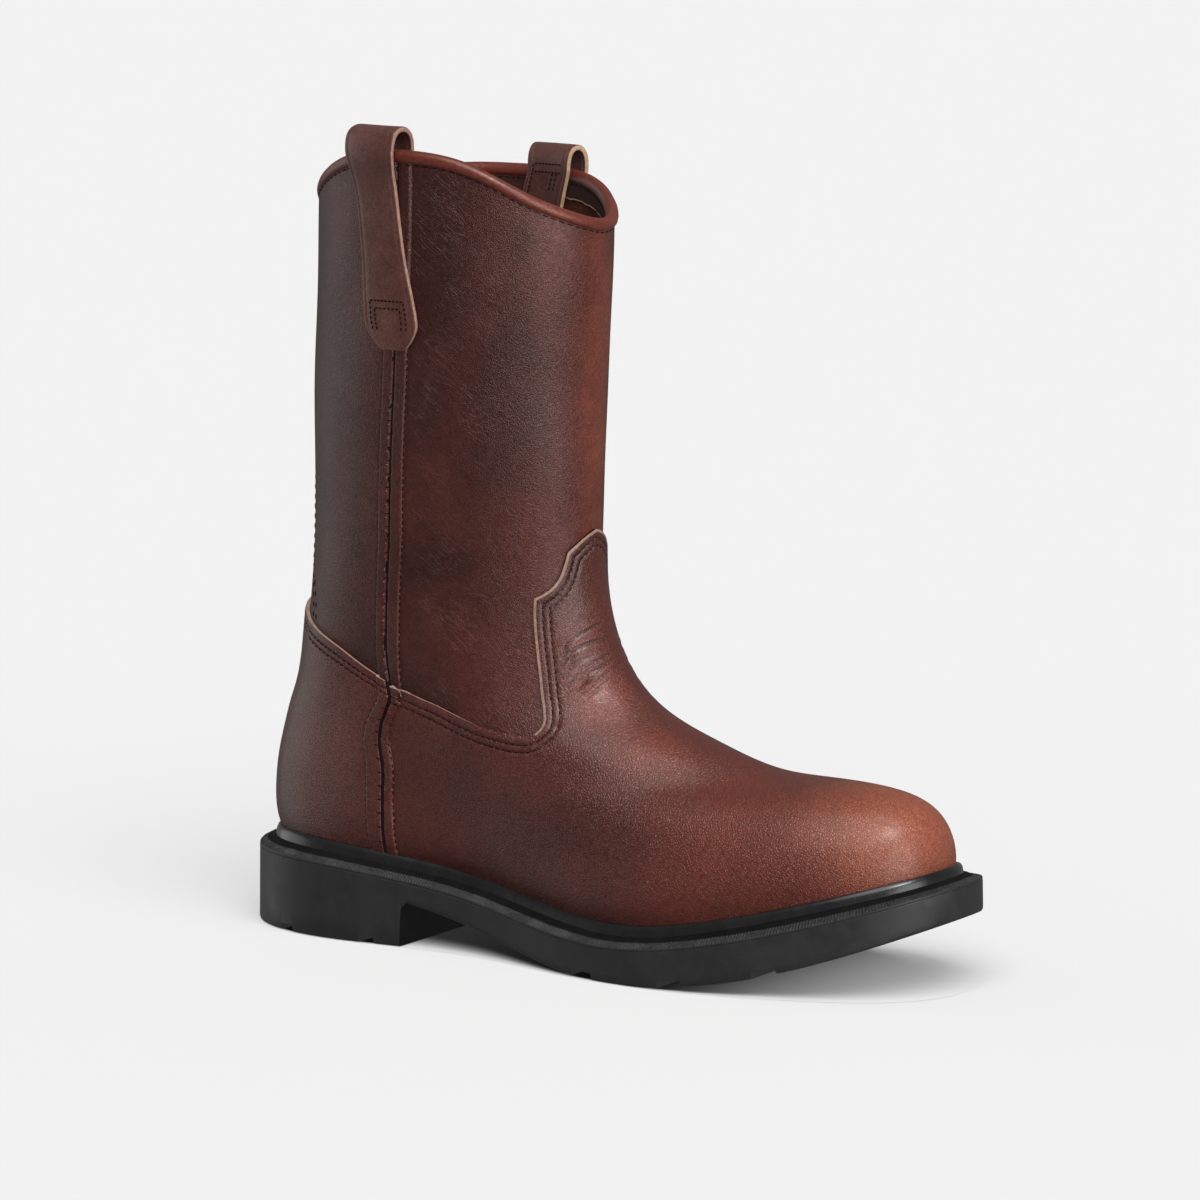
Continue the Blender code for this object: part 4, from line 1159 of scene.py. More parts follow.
# %% Vamp outline
VampLine = namedtuple("VampLine", "turn level corner")
VAMP_LINE = (
    VampLine(0.2185, 7.165, True),
    VampLine(0.2310, 7.105, False),
    VampLine(0.2510, 6.95, False),
    VampLine(0.2670, 6.67, False),
    VampLine(0.2810, 6.42, False),
    VampLine(0.2950, 6.29, False),
    VampLine(0.3050, 6.24, False),
    VampLine(0.3165, 6.27, False),
    VampLine(0.3295, 6.42, False),
    VampLine(0.3460, 6.725, False),
    VampLine(0.3550, 6.96, False),
    VampLine(0.3610, 7.105, False),
    VampLine(0.3725, 7.375, False),
    VampLine(0.3800, 7.60, False),
    VampLine(0.3850, 7.79, False),
    VampLine(0.3890, 7.96, False),
    VampLine(0.3935, 8.155, True),
    VampLine(0.4080, 8.205, False),
    VampLine(0.4200, 8.27, False),
    VampLine(0.4285, 8.345, False),
    VampLine(0.4360, 8.46, False),
    VampLine(0.4440, 8.63, True),
    VampLine(0.4630, 8.725, False),
    VampLine(0.4800, 8.79, False),
    VampLine(0.5000, 8.84, False),
)
PATTERN_TURN = 0.62
VAMP_STEP = 0.0016
CREASE_STEP = 0.0007
INNER_STEP = 0.0009
EDGE_STEP = 0.0011
PATTERN_MERIDIAN = 0.46


def pattern_up(level):
    """Height on the flat pattern of a level."""
    return np.interp(level, pattern_levels, pattern_heights)


def stitched_line(table):
    """The cut line through a table, smooth between its corners, as turns and levels."""
    corners = [n for n, row in enumerate(table) if row.corner] + [len(table) - 1]
    turns, levels = [], []
    for a, b in zip(corners[:-1], corners[1:]):
        knots = np.array([(row.turn * PATTERN_TURN, pattern_up(row.level)) for row in table[a : b + 1]])
        way = run_along(knots)
        at = np.linspace(0, way[-1], max(int(way[-1] / EDGE_STEP), 3))
        turns.append(spline(way, column(table[a : b + 1], "turn"), at)[:-1])
        levels.append(spline(way, column(table[a : b + 1], "level"), at)[:-1])
    turns.append([table[-1].turn])
    levels.append([table[-1].level])
    return np.concatenate(turns), np.concatenate(levels)


pattern_levels = np.linspace(0, 9, 181)
pattern_heights = run_along(skin(np.full(len(pattern_levels), PATTERN_MERIDIAN), pattern_levels))
line_turns, line_levels = stitched_line(VAMP_LINE)
line_turns[0] = seam_turn(line_levels[0], VALLEY_WAY)
vamp_line_turns = np.concatenate([line_turns, 1 - line_turns[-2::-1]])
vamp_line_levels = np.concatenate([line_levels, line_levels[-2::-1]])
vamp_edge = offset(vamp_line_turns, vamp_line_levels, np.full(len(vamp_line_turns), PANEL_LIFT))
print("length of the vamp's cut edge in mm:", round(1000 * run_along(vamp_edge)[-1]))


def inset_line(turns, levels, way):
    """A line moved along the skin into the panel below it, without the places where it would cross."""
    points = skin(turns, levels)
    tangent = unit(np.gradient(points, axis=0))
    target = points + unit(np.cross(tangent, normal(turns, levels))) * way
    new_turns, new_levels = turns, levels
    for _ in range(6):
        by_turn = along_turn(new_turns, new_levels)
        by_level = along_level(new_turns, new_levels)
        gap = target - skin(new_turns, new_levels)
        pairs = (
            (by_turn, by_turn),
            (by_turn, by_level),
            (by_level, by_level),
            (gap, by_turn),
            (gap, by_level),
        )
        uu, uv, vv, du, dv = ((a * b).sum(1) for a, b in pairs)
        det = uu * vv - uv * uv
        new_turns = new_turns + (du * vv - dv * uv) / det
        new_levels = new_levels + (dv * uu - du * uv) / det
    keep = line_distance(skin(new_turns, new_levels), points) > 0.96 * way
    return new_turns[keep], new_levels[keep]


# %% Vamp points
SEAM_SIDE = 0.20
VALLEY_PLACES = 64
BASE_PLACES = 280
SEAM_PLACES = 74
EDGE_CLEARANCE = 0.0108
SEAM_CLEARANCE = 0.0112
BASE_LEVEL = 0.12
LINE_CLEARANCE = 0.0096
PATTERN_ODD = 0.43


def fine_field(low, high, low_level, high_level, step):
    """Places and heights of an even field of points on the flat pattern."""
    up = np.arange(pattern_up(low_level), pattern_up(high_level), step)
    return np.meshgrid(np.arange(low, high, step), up)


valley_levels = even_levels(SEAM_SIDE, 0.0, vamp_line_levels[0], VALLEY_PLACES)[:-1]
valley_turns = seam_turn(valley_levels, VALLEY_WAY)
base_turns = np.linspace(valley_turns[0], 1 - valley_turns[0], BASE_PLACES)[1:-1]
base_levels = np.zeros(len(base_turns))
outline_turns = np.concatenate([valley_turns, vamp_line_turns, 1 - valley_turns[::-1], base_turns[::-1]])
outline_levels = np.concatenate([valley_levels, vamp_line_levels, valley_levels[::-1], base_levels])
inner_turns, inner_levels = [], []
for way in EDGE_WAYS[1:]:
    more_turns, more_levels = inset_line(vamp_line_turns, vamp_line_levels, way)
    clear = seam_way(more_turns, more_levels) > EDGE_CLEARANCE
    inner_turns.append(more_turns[clear])
    inner_levels.append(more_levels[clear])
for way in SEAM_WAYS[1:]:
    rows = even_levels(SEAM_SIDE, 0.05, vamp_line_levels[0], SEAM_PLACES)
    rows = rows[rows < spline((0, 0.012), (7.08, 6.86), way)]
    inner_turns += [seam_turn(rows, way), 1 - seam_turn(rows, way)]
    inner_levels += [rows, rows]
grid_p = np.arange(-0.36, 0.36, VAMP_STEP) * 0.86
grid_q = np.arange(VAMP_STEP, pattern_heights[-1], VAMP_STEP)
flat_p, flat_q = np.meshgrid(grid_p, grid_q)
flat_p = flat_p + (np.arange(len(grid_q)) % 2 * VAMP_STEP * PATTERN_ODD)[:, None]
outer_p, outer_q = fine_field(-0.073, 0.002, 6.85, 7.9, CREASE_STEP)
inner_p, inner_q = fine_field(0.002, 0.073, 6.7, 7.7, INNER_STEP)
more_turns = np.concatenate([flat_p.ravel(), outer_p.ravel(), inner_p.ravel()]) / PATTERN_TURN + 0.5
more_up = np.concatenate([flat_q.ravel(), outer_q.ravel(), inner_q.ravel()])
more_levels = np.interp(more_up, pattern_heights, pattern_levels)


def flat_place(turns, up):
    """Places on the flat pattern."""
    return np.stack([(turns - 0.5) * PATTERN_TURN, up], axis=1)


def inside(points, outline):
    """Which points lie inside a closed outline, counted by crossings."""
    result = np.zeros(len(points), bool)
    for a, b in zip(outline, np.roll(outline, -1, axis=0)):
        spans = (a[1] > points[:, 1]) != (b[1] > points[:, 1])
        cross = a[0] + (points[:, 1] - a[1]) / (b[1] - a[1] + 1e-15) * (b[0] - a[0])
        result ^= spans & (points[:, 0] < cross)
    return result


keep = inside(flat_place(more_turns, more_up), flat_place(outline_turns, pattern_up(outline_levels)))
more_turns, more_levels = more_turns[keep], more_levels[keep]
keep = (seam_way(more_turns, more_levels) > SEAM_CLEARANCE) & (more_levels > BASE_LEVEL)
more_turns, more_levels = more_turns[keep], more_levels[keep]
cut_line = skin(vamp_line_turns, vamp_line_levels)
keep = line_distance(skin(more_turns, more_levels), cut_line) > LINE_CLEARANCE
all_turns = np.concatenate([outline_turns, *inner_turns, more_turns[keep]])
all_levels = np.concatenate([outline_levels, *inner_levels, more_levels[keep]])
flat_points = [Vector(p) for p in flat_place(all_turns, pattern_up(all_levels))]
cut = delaunay_2d_cdt(flat_points, [], [list(range(len(outline_turns)))], 1, 1e-6)
vamp_turns = np.array([p[0] for p in cut[0]]) / PATTERN_TURN + 0.5
vamp_levels = np.interp([p[1] for p in cut[0]], pattern_heights, pattern_levels)
print("points of the vamp pattern:", len(vamp_turns))

# %% Vamp sheet
TONGUE_HALF = 0.178
CREASE_SHADE_DEPTH = 0.0004
DARKEST_CREASE_SHADE = -0.5
PALEST_RIDGE_HIGHLIGHT = 0.4

vamp_way = line_distance(skin(vamp_turns, vamp_levels), cut_line)
vamp_lift = panel_height(vamp_turns, vamp_levels) + edge_grooves(vamp_way)
creases = crease_height(offset(vamp_turns, vamp_levels, np.full(len(vamp_turns), PANEL_LIFT)))
vamp_lift += creases
vamp_points = offset(vamp_turns, vamp_levels, vamp_lift)
vamp = mesh_object("vamp_panel", vamp_points, [tuple(face) for face in cut[2]])
dress(vamp, vamp_hide, raw_edge)
for face in vamp.data.polygons:
    on_tongue = all(abs(vamp_turns[n] - 0.5) < TONGUE_HALF for n in face.vertices)
    face.material_index = int(on_tongue and all(vamp_way[n] < EDGE_STRIP for n in face.vertices))
paint_valley_shade(vamp, vamp_turns, vamp_levels)
# Painted shade in crease troughs and stitch channels, painted highlight on crease ridges.
mark_painted_light(vamp, np.clip(creases / CREASE_SHADE_DEPTH, DARKEST_CREASE_SHADE, PALEST_RIDGE_HIGHLIGHT) + edge_shade(vamp_way))
face_outward(vamp)
thicken(vamp, PANEL, 1)
mend_rim(vamp, vamp_edge, RIM_REACH)
smooth(vamp, 50)
settle(vamp, "vamp_leather", "vamp")

# %% [markdown]
# ## Collar binding
# A strip of softer leather is folded over the collar. It is a closed ring of one rounded section, laid
# along the scallop. Out is measured from the skin, and rise from the top of the wall.

# %% Binding
Fold = namedtuple("Fold", "out rise")
BINDING = (
    Fold(0.0002, -0.0036),
    Fold(0.0008, -0.0035),
    Fold(0.0012, -0.0029),
    Fold(0.0014, -0.0019),
    Fold(0.0013, -0.0007),
    Fold(0.0008, 0.0004),
    Fold(0.0000, 0.0010),
    Fold(-0.0010, 0.0013),
    Fold(-0.0020, 0.0010),
    Fold(-0.0028, 0.0002),
    Fold(-0.0033, -0.0010),
    Fold(-0.0034, -0.0021),
    Fold(-0.0032, -0.0031),
    Fold(-0.0027, -0.0036),
    Fold(-0.0020, -0.0036),
    Fold(-0.0018, -0.0018),
    Fold(-0.0010, -0.0003),
    Fold(-0.0001, -0.0018),
)
BINDING_COLUMNS = 300
SWELL = 0.95
FRONT_SWELL = 0.25
UNEVEN_SWELL = 0.05
SHAFT_START = 11.0
SHAFT_LOWEST = 8.5


def shaft_point(turn, height, out):
    """A point beside the shaft, or above its collar, at a distance out from its skin."""
    turn, height, out = np.broadcast_arrays(*(np.asarray(row, float) for row in (turn, height, out)))
    level = np.full(turn.shape, SHAFT_START)
    for _ in range(6):
        level = level + (height - skin(turn, level)[..., 2]) / along_level(turn, level)[..., 2]
        level = np.clip(level, SHAFT_LOWEST, TOP)
    flat_out = unit(normal(turn, level) * np.array([1, 1, 0]))
    point = skin(turn, level) + flat_out * out[..., None]
    return np.stack([point[..., 0], point[..., 1], height], axis=-1)


ring_turns = np.arange(BINDING_COLUMNS) / BINDING_COLUMNS
wall_top = skin(ring_turns, TOP)[:, 2]
rises = np.array(column(BINDING, "rise"))[:, None]
outs = np.array(column(BINDING, "out"))[:, None]
ring_angles = ring_turns * 2 * math.pi
swell = SWELL - FRONT_SWELL * np.cos(ring_angles) + UNEVEN_SWELL * np.sin(ring_angles * 9 + 1)
swell = np.where(outs > 0, swell[None, :], 1.0)
binding_points = shaft_point(ring_turns[None, :], wall_top[None, :] + rises, outs * swell)
binding = laid_grid("binding_roll", binding_points, ring=True, ring_rows=True)
dress(binding, binding_hide)
face_outward(binding)
smooth(binding, 70)
settle(binding, "vamp_leather", "collar_binding")

# %% [markdown]
# ## Inside of the boot
# Inside the collar is a facing of smooth dark leather with a torn lower edge, and below it a suede lining
# that runs down into the foot. Both are rings laid inside the skin. The board under the foot keeps its
# solid, with a finish of its own.

# %% Lining and facing
LINING_COLUMNS = 144
LINING_ROWS = 70
LINING_LOW = 0.75
LINING_HIGH = TOP - 0.02
LINING_DEPTH = 0.0014
LINING_WALL = 0.0006
FACING_OUT = 0.0021
FACING_WALL = 0.0008
FACING_DEEP = 0.0098
FACING_ROWS = 22
FACING_START = 0.0035
Tear = namedtuple("Tear", "size count phase")
TEARS = (Tear(0.00016, 31, 0), Tear(0.00012, 67, 2), Tear(0.0005, 3, 0.7))

lining_levels = even_levels(0.30, LINING_LOW, LINING_HIGH, LINING_ROWS)
lining_turns = np.arange(LINING_COLUMNS) / LINING_COLUMNS
lining_lift = np.full((LINING_ROWS, LINING_COLUMNS), -LINING_DEPTH)
lining_points = offset(lining_turns[None, :], lining_levels[:, None], lining_lift)
lining = laid_grid("lining", lining_points, ring=True)
dress(lining, lining_suede)
face_outward(lining)
thicken(lining, LINING_WALL, 0)
smooth(lining, 60)
settle(lining, "shaft_leather")

torn = sum(row.size * np.sin(ring_angles * row.count + row.phase) for row in TEARS)
drop = np.linspace(FACING_START, 1, FACING_ROWS)[:, None] * (FACING_DEEP + torn)[None, :]
facing_points = shaft_point(ring_turns[None, :], wall_top[None, :] - drop, np.full(drop.shape, -FACING_OUT))
facing = laid_grid("collar_facing", facing_points[::-1], ring=True)
dress(facing, facing_hide, pale_edge)
for face in facing.data.polygons[:BINDING_COLUMNS]:
    face.material_index = 1
face_outward(facing)
thicken(facing, FACING_WALL, 1)
smooth(facing, 50)
settle(facing, "shaft_leather")

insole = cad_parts["insole"]
dress(insole, footbed_board)

# %% [markdown]
# ## Pull straps
# Each strap is a flat strip of thick leather, sewn outside the shaft, looped over the collar and sewn
# inside. The strip's section is swept along its path. Its cut edges are raw and paler, and a line is
# pressed into its face near each edge. The face is left plain.

# %% Straps
STRAP = 0.0023
Strap = namedtuple("Strap", "rise out half")
STRAP_LEG = (
    Strap(-0.0745, 0.0018, 0.0052),
    Strap(-0.0715, 0.0018, 0.0084),
    Strap(-0.0670, 0.0018, 0.0113),
    Strap(-0.0645, 0.0018, 0.0119),
    Strap(-0.0600, 0.0018, 0.0118),
    Strap(-0.0513, 0.0018, 0.0110),
    Strap(-0.0430, 0.0018, 0.0102),
    Strap(-0.0350, 0.0018, 0.0098),
    Strap(-0.0250, 0.0018, 0.0097),
    Strap(-0.0160, 0.0020, 0.0099),
)
LATERAL_LOOP = (
    Strap(-0.0080, 0.0030, 0.0104),
    Strap(-0.0030, 0.0038, 0.0112),
    Strap(0.0034, 0.0037, 0.0118),
    Strap(0.0071, 0.0023, 0.0120),
    Strap(0.0089, -0.0006, 0.0120),
    Strap(0.0090, -0.0042, 0.0120),
    Strap(0.0073, -0.0076, 0.0119),
    Strap(0.0034, -0.0095, 0.0118),
    Strap(-0.0030, -0.0090, 0.0116),
    Strap(-0.0090, -0.0070, 0.0114),
    Strap(-0.0160, -0.0052, 0.0112),
    Strap(-0.0260, -0.0046, 0.0110),
    Strap(-0.0420, -0.0046, 0.0110),
)
MEDIAL_LOOP = (
    Strap(-0.0080, 0.0028, 0.0104),
    Strap(-0.0030, 0.0034, 0.0112),
    Strap(0.0034, 0.0034, 0.0118),
    Strap(0.0070, 0.0023, 0.0120),
    Strap(0.0089, 0.0003, 0.0120),
    Strap(0.0089, -0.0023, 0.0120),
    Strap(0.0070, -0.0044, 0.0119),
    Strap(0.0034, -0.0055, 0.0118),
    Strap(-0.0030, -0.0056, 0.0116),
    Strap(-0.0090, -0.0054, 0.0114),
    Strap(-0.0160, -0.0050, 0.0112),
    Strap(-0.0260, -0.0046, 0.0110),
    Strap(-0.0420, -0.0046, 0.0110),
)
Lean = namedtuple("Lean", "name side low high inner path")
LEANS = (
    Lean("lateral", -1, 0.0747, 0.0658, 0.0699, STRAP_LEG + LATERAL_LOOP),
    Lean("medial", 1, 0.0800, 0.0937, 0.0800, STRAP_LEG + MEDIAL_LOOP),
)
Across = namedtuple("Across", "across lift")
HALF_FACE = (
    Across(-1.0, 0.35),
    Across(-0.985, 0.75),
    Across(-0.955, 0.96),
    Across(-0.90, 1.0),
    Across(-0.84, 1.0),
    Across(-0.815, 0.90),
    Across(-0.79, 1.0),
    Across(-0.60, 1.0),
    Across(-0.30, 1.0),
)
OTHER_FACE = [Across(-row.across, row.lift) for row in HALF_FACE[::-1]]
STRAP_FACE = (*HALF_FACE, Across(0.0, 1.0), *OTHER_FACE)
STRAP_STATIONS = 170
END_STATIONS = 25
END_LENGTH = 0.012
CORNER_SOFT = 0.0012
END_SOFT = 0.0006
STRAP_HEIGHT = 0.290
STRAP_LEVEL = 11.5
SIDE_TURNS = np.linspace(0.10, 0.40, 61)


def turn_at(side, x, height):
    """The turn at which the shaft's side is x along the last."""
    turns = SIDE_TURNS if side < 0 else 1 - SIDE_TURNS
    points = shaft_point(turns, height, 0.0)
    return float(np.interp(x - ORIGIN[0], points[:, 0], turns))


def strap_frame(lean):
    """Places along a strap: its rise, out, half width, facing, height, middle turn and turn per metre."""
    knots = run_along(np.column_stack([column(lean.path, "rise"), column(lean.path, "out")]))
    end = np.linspace(0, END_LENGTH, END_STATIONS + 1)[:-1]
    at = np.concatenate([end, np.linspace(END_LENGTH, knots[-1], STRAP_STATIONS - END_STATIONS)])
    rise, out = (spline(knots, column(lean.path, name), at) for name in ("rise", "out"))
    shifts = np.linspace(-CORNER_SOFT, CORNER_SOFT, 9)[:, None]
    half_width = np.interp(at + shifts, knots, column(lean.path, "half")).mean(axis=0)
    half_width = half_width - CORNER_SOFT * bell(at, END_SOFT)
    top = float(skin(turn_at(lean.side, lean.high, STRAP_HEIGHT), TOP)[2])
    outer_leg = np.arange(len(at)) <= np.argmax(rise)
    drop = np.clip(rise / np.where(outer_leg, rise[0], rise[-1]), 0, 1)
    x = lean.high + (np.where(outer_leg, lean.low, lean.inner) - lean.high) * drop
    height = top + rise
    middle = np.array([turn_at(lean.side, a, min(b, top)) for a, b in zip(x, height)])
    speed = np.linalg.norm(along_turn(middle, np.full(len(middle), STRAP_LEVEL)), axis=-1)
    run_rise, run_out = np.gradient(rise, at), np.gradient(out, at)
    length = np.hypot(run_rise, run_out)
    return at, rise, out, half_width, run_rise / length, -run_out / length, height, middle, speed


def close_ends(piece):
    """Fill the open ends of a tube."""
    edit(
        piece,
        lambda: bpy.ops.mesh.select_all(action="DESELECT"),
        lambda: bpy.ops.mesh.select_non_manifold(),
        lambda: bpy.ops.mesh.edge_face_add(),
    )


def strap_place(lean, station, across, lift):
    """Points on or beside a strap at a station, a share across it and a lift from its middle."""
    at, rise, out, half_width, face_out, face_up, height, middle, speed = strap_frames[lean.name]
    take_at = lambda row: np.interp(station, at, row)
    turn = take_at(middle) + across * take_at(half_width) / take_at(speed)
    up = take_at(height) + take_at(face_up) * lift
    return shaft_point(turn, up, take_at(out) + take_at(face_out) * lift)


strap_frames = {lean.name: strap_frame(lean) for lean in LEANS}
for lean in LEANS:
    at = strap_frames[lean.name][0]
    upper_face = [(row.across, row.lift * STRAP / 2) for row in STRAP_FACE]
    lower_face = [(row.across, -row.lift * STRAP / 2) for row in STRAP_FACE[::-1]]
    ring = upper_face + lower_face
    rows = [strap_place(lean, at, a, b) for a, b in ring]
    strap = laid_grid("strap_" + lean.name, np.array(rows).transpose(1, 0, 2), ring=True)
    count = len(STRAP_FACE)
    edges = {0, count - 2, count - 1, count, 2 * count - 2, 2 * count - 1}
    dress(strap, strap_hide, dark_edge if lean.side < 0 else pale_edge)
    for n, face in enumerate(strap.data.polygons):
        face.material_index = int(n % len(ring) in edges)
    close_ends(strap)
    for face in strap.data.polygons:
        if len(face.vertices) > 4:
            face.material_index = 1
    face_outward(strap)
    smooth(strap, 42)
    settle(strap, "strap_leather", "pull_strap_" + lean.name)

# %% [markdown]
# ## Welt
# The welt is the rubber strip on top of the sole. Beside the leather it has a round bead, then a groove,
# then a sloping face that was run over with a toothed wheel. Its section is swept round the sole, with
# enough columns for the wheel's marks to be real relief. Bead, groove and wheeled face each have their
# own finish, and the groove's darker one is painted shade.

# %% Welt
WELT_COLUMNS = 2400
WHEEL_PERIOD = 4
WHEEL_DEPTH = 0.00028
WHEEL_WEAR = (0.6, 0.4)
WELT_LEVEL = 0.85
BEAD_ROWS = 8
GROOVE_ROWS = 4
WHEEL_ROWS = 3
Welt = namedtuple("Welt", "share bed edge lift wheel")
WELT = (
    Welt(-0.02, 1.0, 0.0, -0.0040, 0.0),
    Welt(-0.02, 1.0, 0.0, 0.0004, 0.0),
    Welt(0.02, 1.0, 0.0, 0.0012, 0.0),
    Welt(0.08, 1.0, 0.0, 0.0018, 0.0),
    Welt(0.15, 1.0, 0.0, 0.0018, 0.0),
    Welt(0.22, 1.0, 0.0, 0.0012, 0.0),
    Welt(0.275, 1.0, 0.0, 0.0000, 0.0),
    Welt(0.305, 1.0, 0.0, -0.0016, 0.0),
    Welt(0.33, 1.0, 0.0, -0.0024, 0.0),
    Welt(0.37, 1.0, 0.0, -0.0022, 0.0),
    Welt(0.44, 0.86, 0.14, -0.0016, 0.0),
    Welt(0.58, 0.60, 0.40, -0.0008, 0.2),
    Welt(0.66, 0.45, 0.55, -0.0003, 1.0),
    Welt(0.82, 0.18, 0.82, 0.0008, 1.0),
    Welt(0.93, 0.0, 1.0, 0.0014, 1.0),
    Welt(0.985, 0.0, 1.0, 0.0009, 0.6),
    Welt(1.0, 0.0, 1.0, 0.0003, 0.0),
    Welt(0.985, 0.0, 1.0, -0.0001, 0.0),
    Welt(0.50, 0.0, 1.0, -0.0001, 0.0),
    Welt(-0.02, 0.0, 1.0, -0.0001, 0.0),
)
welt_turns = np.arange(WELT_COLUMNS) / WELT_COLUMNS
plan = sole_outline(welt_turns)
way = run_along(np.concatenate([plan, plan[:1]]))
welt_turns = np.interp(welt_turns * way[-1], way, np.append(welt_turns, 1.0))
outer = sole_outline(welt_turns)
inner = offset(welt_turns, np.full(WELT_COLUMNS, WELT_LEVEL), np.full(WELT_COLUMNS, PANEL_LIFT))
inner = (inner + ORIGIN)[:, :2]
teeth = np.cos(np.arange(WELT_COLUMNS) * 2 * math.pi / WHEEL_PERIOD)
welt_angles = welt_turns * 2 * math.pi
teeth = teeth * (WHEEL_WEAR[0] + WHEEL_WEAR[1] * np.sin(welt_angles * 17 + 1) * np.sin(welt_angles * 41))
rows = []
for row in WELT:
    spot = inner + (outer - inner) * row.share
    height = row.bed * side_line("bed", spot[:, 0]) + row.edge * side_line("edge", spot[:, 0]) + row.lift
    rows.append(np.column_stack([spot, height + row.wheel * WHEEL_DEPTH * teeth]) - ORIGIN)
welt = laid_grid("welt_strip", np.array(rows), ring=True, ring_rows=True)
dress(welt, sole_rubber, bead_rubber, painted_shade_rubber, wheel_rubber)
# Rows of the welt's groove get the darker rubber, as painted shade.
row_slots = [1] * BEAD_ROWS + [2] * GROOVE_ROWS + [3] * WHEEL_ROWS
row_slots += [0] * (len(WELT) - len(row_slots))
for n, face in enumerate(welt.data.polygons):
    face.material_index = row_slots[n // WELT_COLUMNS]
face_outward(welt)
smooth(welt, 38)
settle(welt, "sole_rubber", "welt")

# %% [markdown]
# ## Outsole
# The outsole and its heel are one rubber moulding. It is a loft of sections from heel to toe: the outline
# gives the width, the side lines give the top and the arch, and the corners are rounded. Notches are then
# cut into the edge of the tread with a Boolean modifier. Its underside and heel breast get the darker
# finish, as painted shade.

# %% Outsole
SOLE_STATIONS = 230
SOLE_PLACES = 900
SOLE_FLARE = 0.0006
FLAT_SPOT = 0.0003
TOP_GAP = 0.0001
INSET_SHARE = 0.6
Corner = namedtuple("Corner", "inset share lift")
HALF_RING = (
    Corner(0.0003, 1.0, 0.0),
    Corner(0.0, 1.0, -0.0003),
    Corner(0.0, 0.66, 0.0),
    Corner(0.0, 0.33, 0.0),
    Corner(0.0, 0.0, 0.0014),
    Corner(0.0004, 0.0, 0.0005),
    Corner(0.0014, 0.0, 0.0),
    Corner(0.0120, 0.0, 0.0),
)
SOLE_RING = [(-1, row) for row in HALF_RING] + [(1, row) for row in HALF_RING[::-1]]
Groove = namedtuple("Groove", "along width")
GROOVES = (
    Groove(0.0187, 0.0072),
    Groove(0.0578, 0.0072),
    Groove(0.1622, 0.0105),
    Groove(0.2018, 0.0108),
    Groove(0.2386, 0.0100),
)
GROOVE_TAPER = 0.86
GROOVE_DEPTH = 0.0030
GROOVE_REACH = 0.0240
GROOVE_OVERHANG = 0.008
SLOPE_STEP = 0.001
BREAST_REACH = 0.004
BREAST_ROOM = (-0.001, 0.0045)
UNDERSIDE = -0.92
Breast = namedtuple("Breast", "ahead height")
BREAST = (
    Breast(0.0, 0.0),
    Breast(0.0003, 0.0090),
    Breast(0.0006, 0.0132),
    Breast(0.0014, 0.0156),
    Breast(0.0030, 0.0172),
)


def tread_height(x):
    """Underside of the forepart, with a flat spot where it meets the floor."""
    height = spline(np.array(column(TREAD, "along")) * LAST_LENGTH, column(TREAD, "height"), x)
    return np.maximum(height - FLAT_SPOT, 0.0)


def sole_sides(x):
    """The two edges of the sole's plan at a place along it."""
    return (float(np.interp(x, line[:, 0], line[:, 1])) for line in (lateral, medial))


def clearance(x):
    """Height of the sole's underside above the floor."""
    return 0.0 if x < HEEL_BREAST else float(tread_height(x))


half_turns = np.linspace(0, 0.5, SOLE_PLACES)
lateral, medial = sole_outline(half_turns), sole_outline(1 - half_turns)
heel_end, toe_end = lateral[0, 0], lateral[-1, 0]
spread = (1 - np.cos(np.linspace(0, math.pi, SOLE_STATIONS))) / 2
stations = heel_end + (toe_end - heel_end) * spread
stations = [(x, clearance(x)) for x in stations if not BREAST_ROOM[0] < x - HEEL_BREAST < BREAST_ROOM[1]]
stations += [(HEEL_BREAST + row.ahead, row.height) for row in BREAST]
stations.sort()
rings = []
for x, bottom in stations:
    top = float(side_line("edge", x)) - TOP_GAP
    left, right = sole_sides(x)
    half_width = (right - left) / 2
    ring = []
    for side, row in SOLE_RING:
        z = bottom + (top - bottom) * row.share + row.lift
        flare = SOLE_FLARE * (1 - (z - bottom) / (top - bottom))
        reach = half_width + min(flare, half_width) - min(row.inset, half_width * INSET_SHARE)
        ring.append((x, (left + right) / 2 + side * reach, z) - ORIGIN)
    rings.append(ring)
outsole = laid_grid("sole_unit", np.array(rings), ring=True)
close_ends(outsole)
face_outward(outsole)
for groove in GROOVES:
    x = groove.along
    slope = (clearance(x + SLOPE_STEP) - clearance(x - SLOPE_STEP)) / (2 * SLOPE_STEP)
    for side_y, inward in zip(sole_sides(x), (1, -1)):
        y = side_y + inward * (GROOVE_REACH - GROOVE_OVERHANG) / 2
        middle = Vector((x, y, clearance(x))) - Vector(ORIGIN)
        bpy.ops.object.select_all(action="DESELECT")
        bpy.ops.mesh.primitive_cube_add(size=1, location=middle, rotation=(0, -math.atan(slope), 0))
        cutter = bpy.context.object
        for corner in cutter.data.vertices:
            corner.co.x *= GROOVE_TAPER if corner.co.z > 0 else 2 - GROOVE_TAPER
        cutter.scale = (groove.width, GROOVE_REACH + GROOVE_OVERHANG, 2 * GROOVE_DEPTH)
        bpy.ops.object.transform_apply(location=True, rotation=True, scale=True)
        take(outsole)
        bpy.ops.object.modifier_add(type="BOOLEAN")
        notch = outsole.modifiers[-1]
        notch.operation = "DIFFERENCE"
        notch.solver = "EXACT"
        notch.object = cutter
        bpy.ops.object.modifier_apply(modifier=notch.name)
        bpy.data.objects.remove(cutter)
dress(outsole, sole_rubber, painted_shade_rubber)
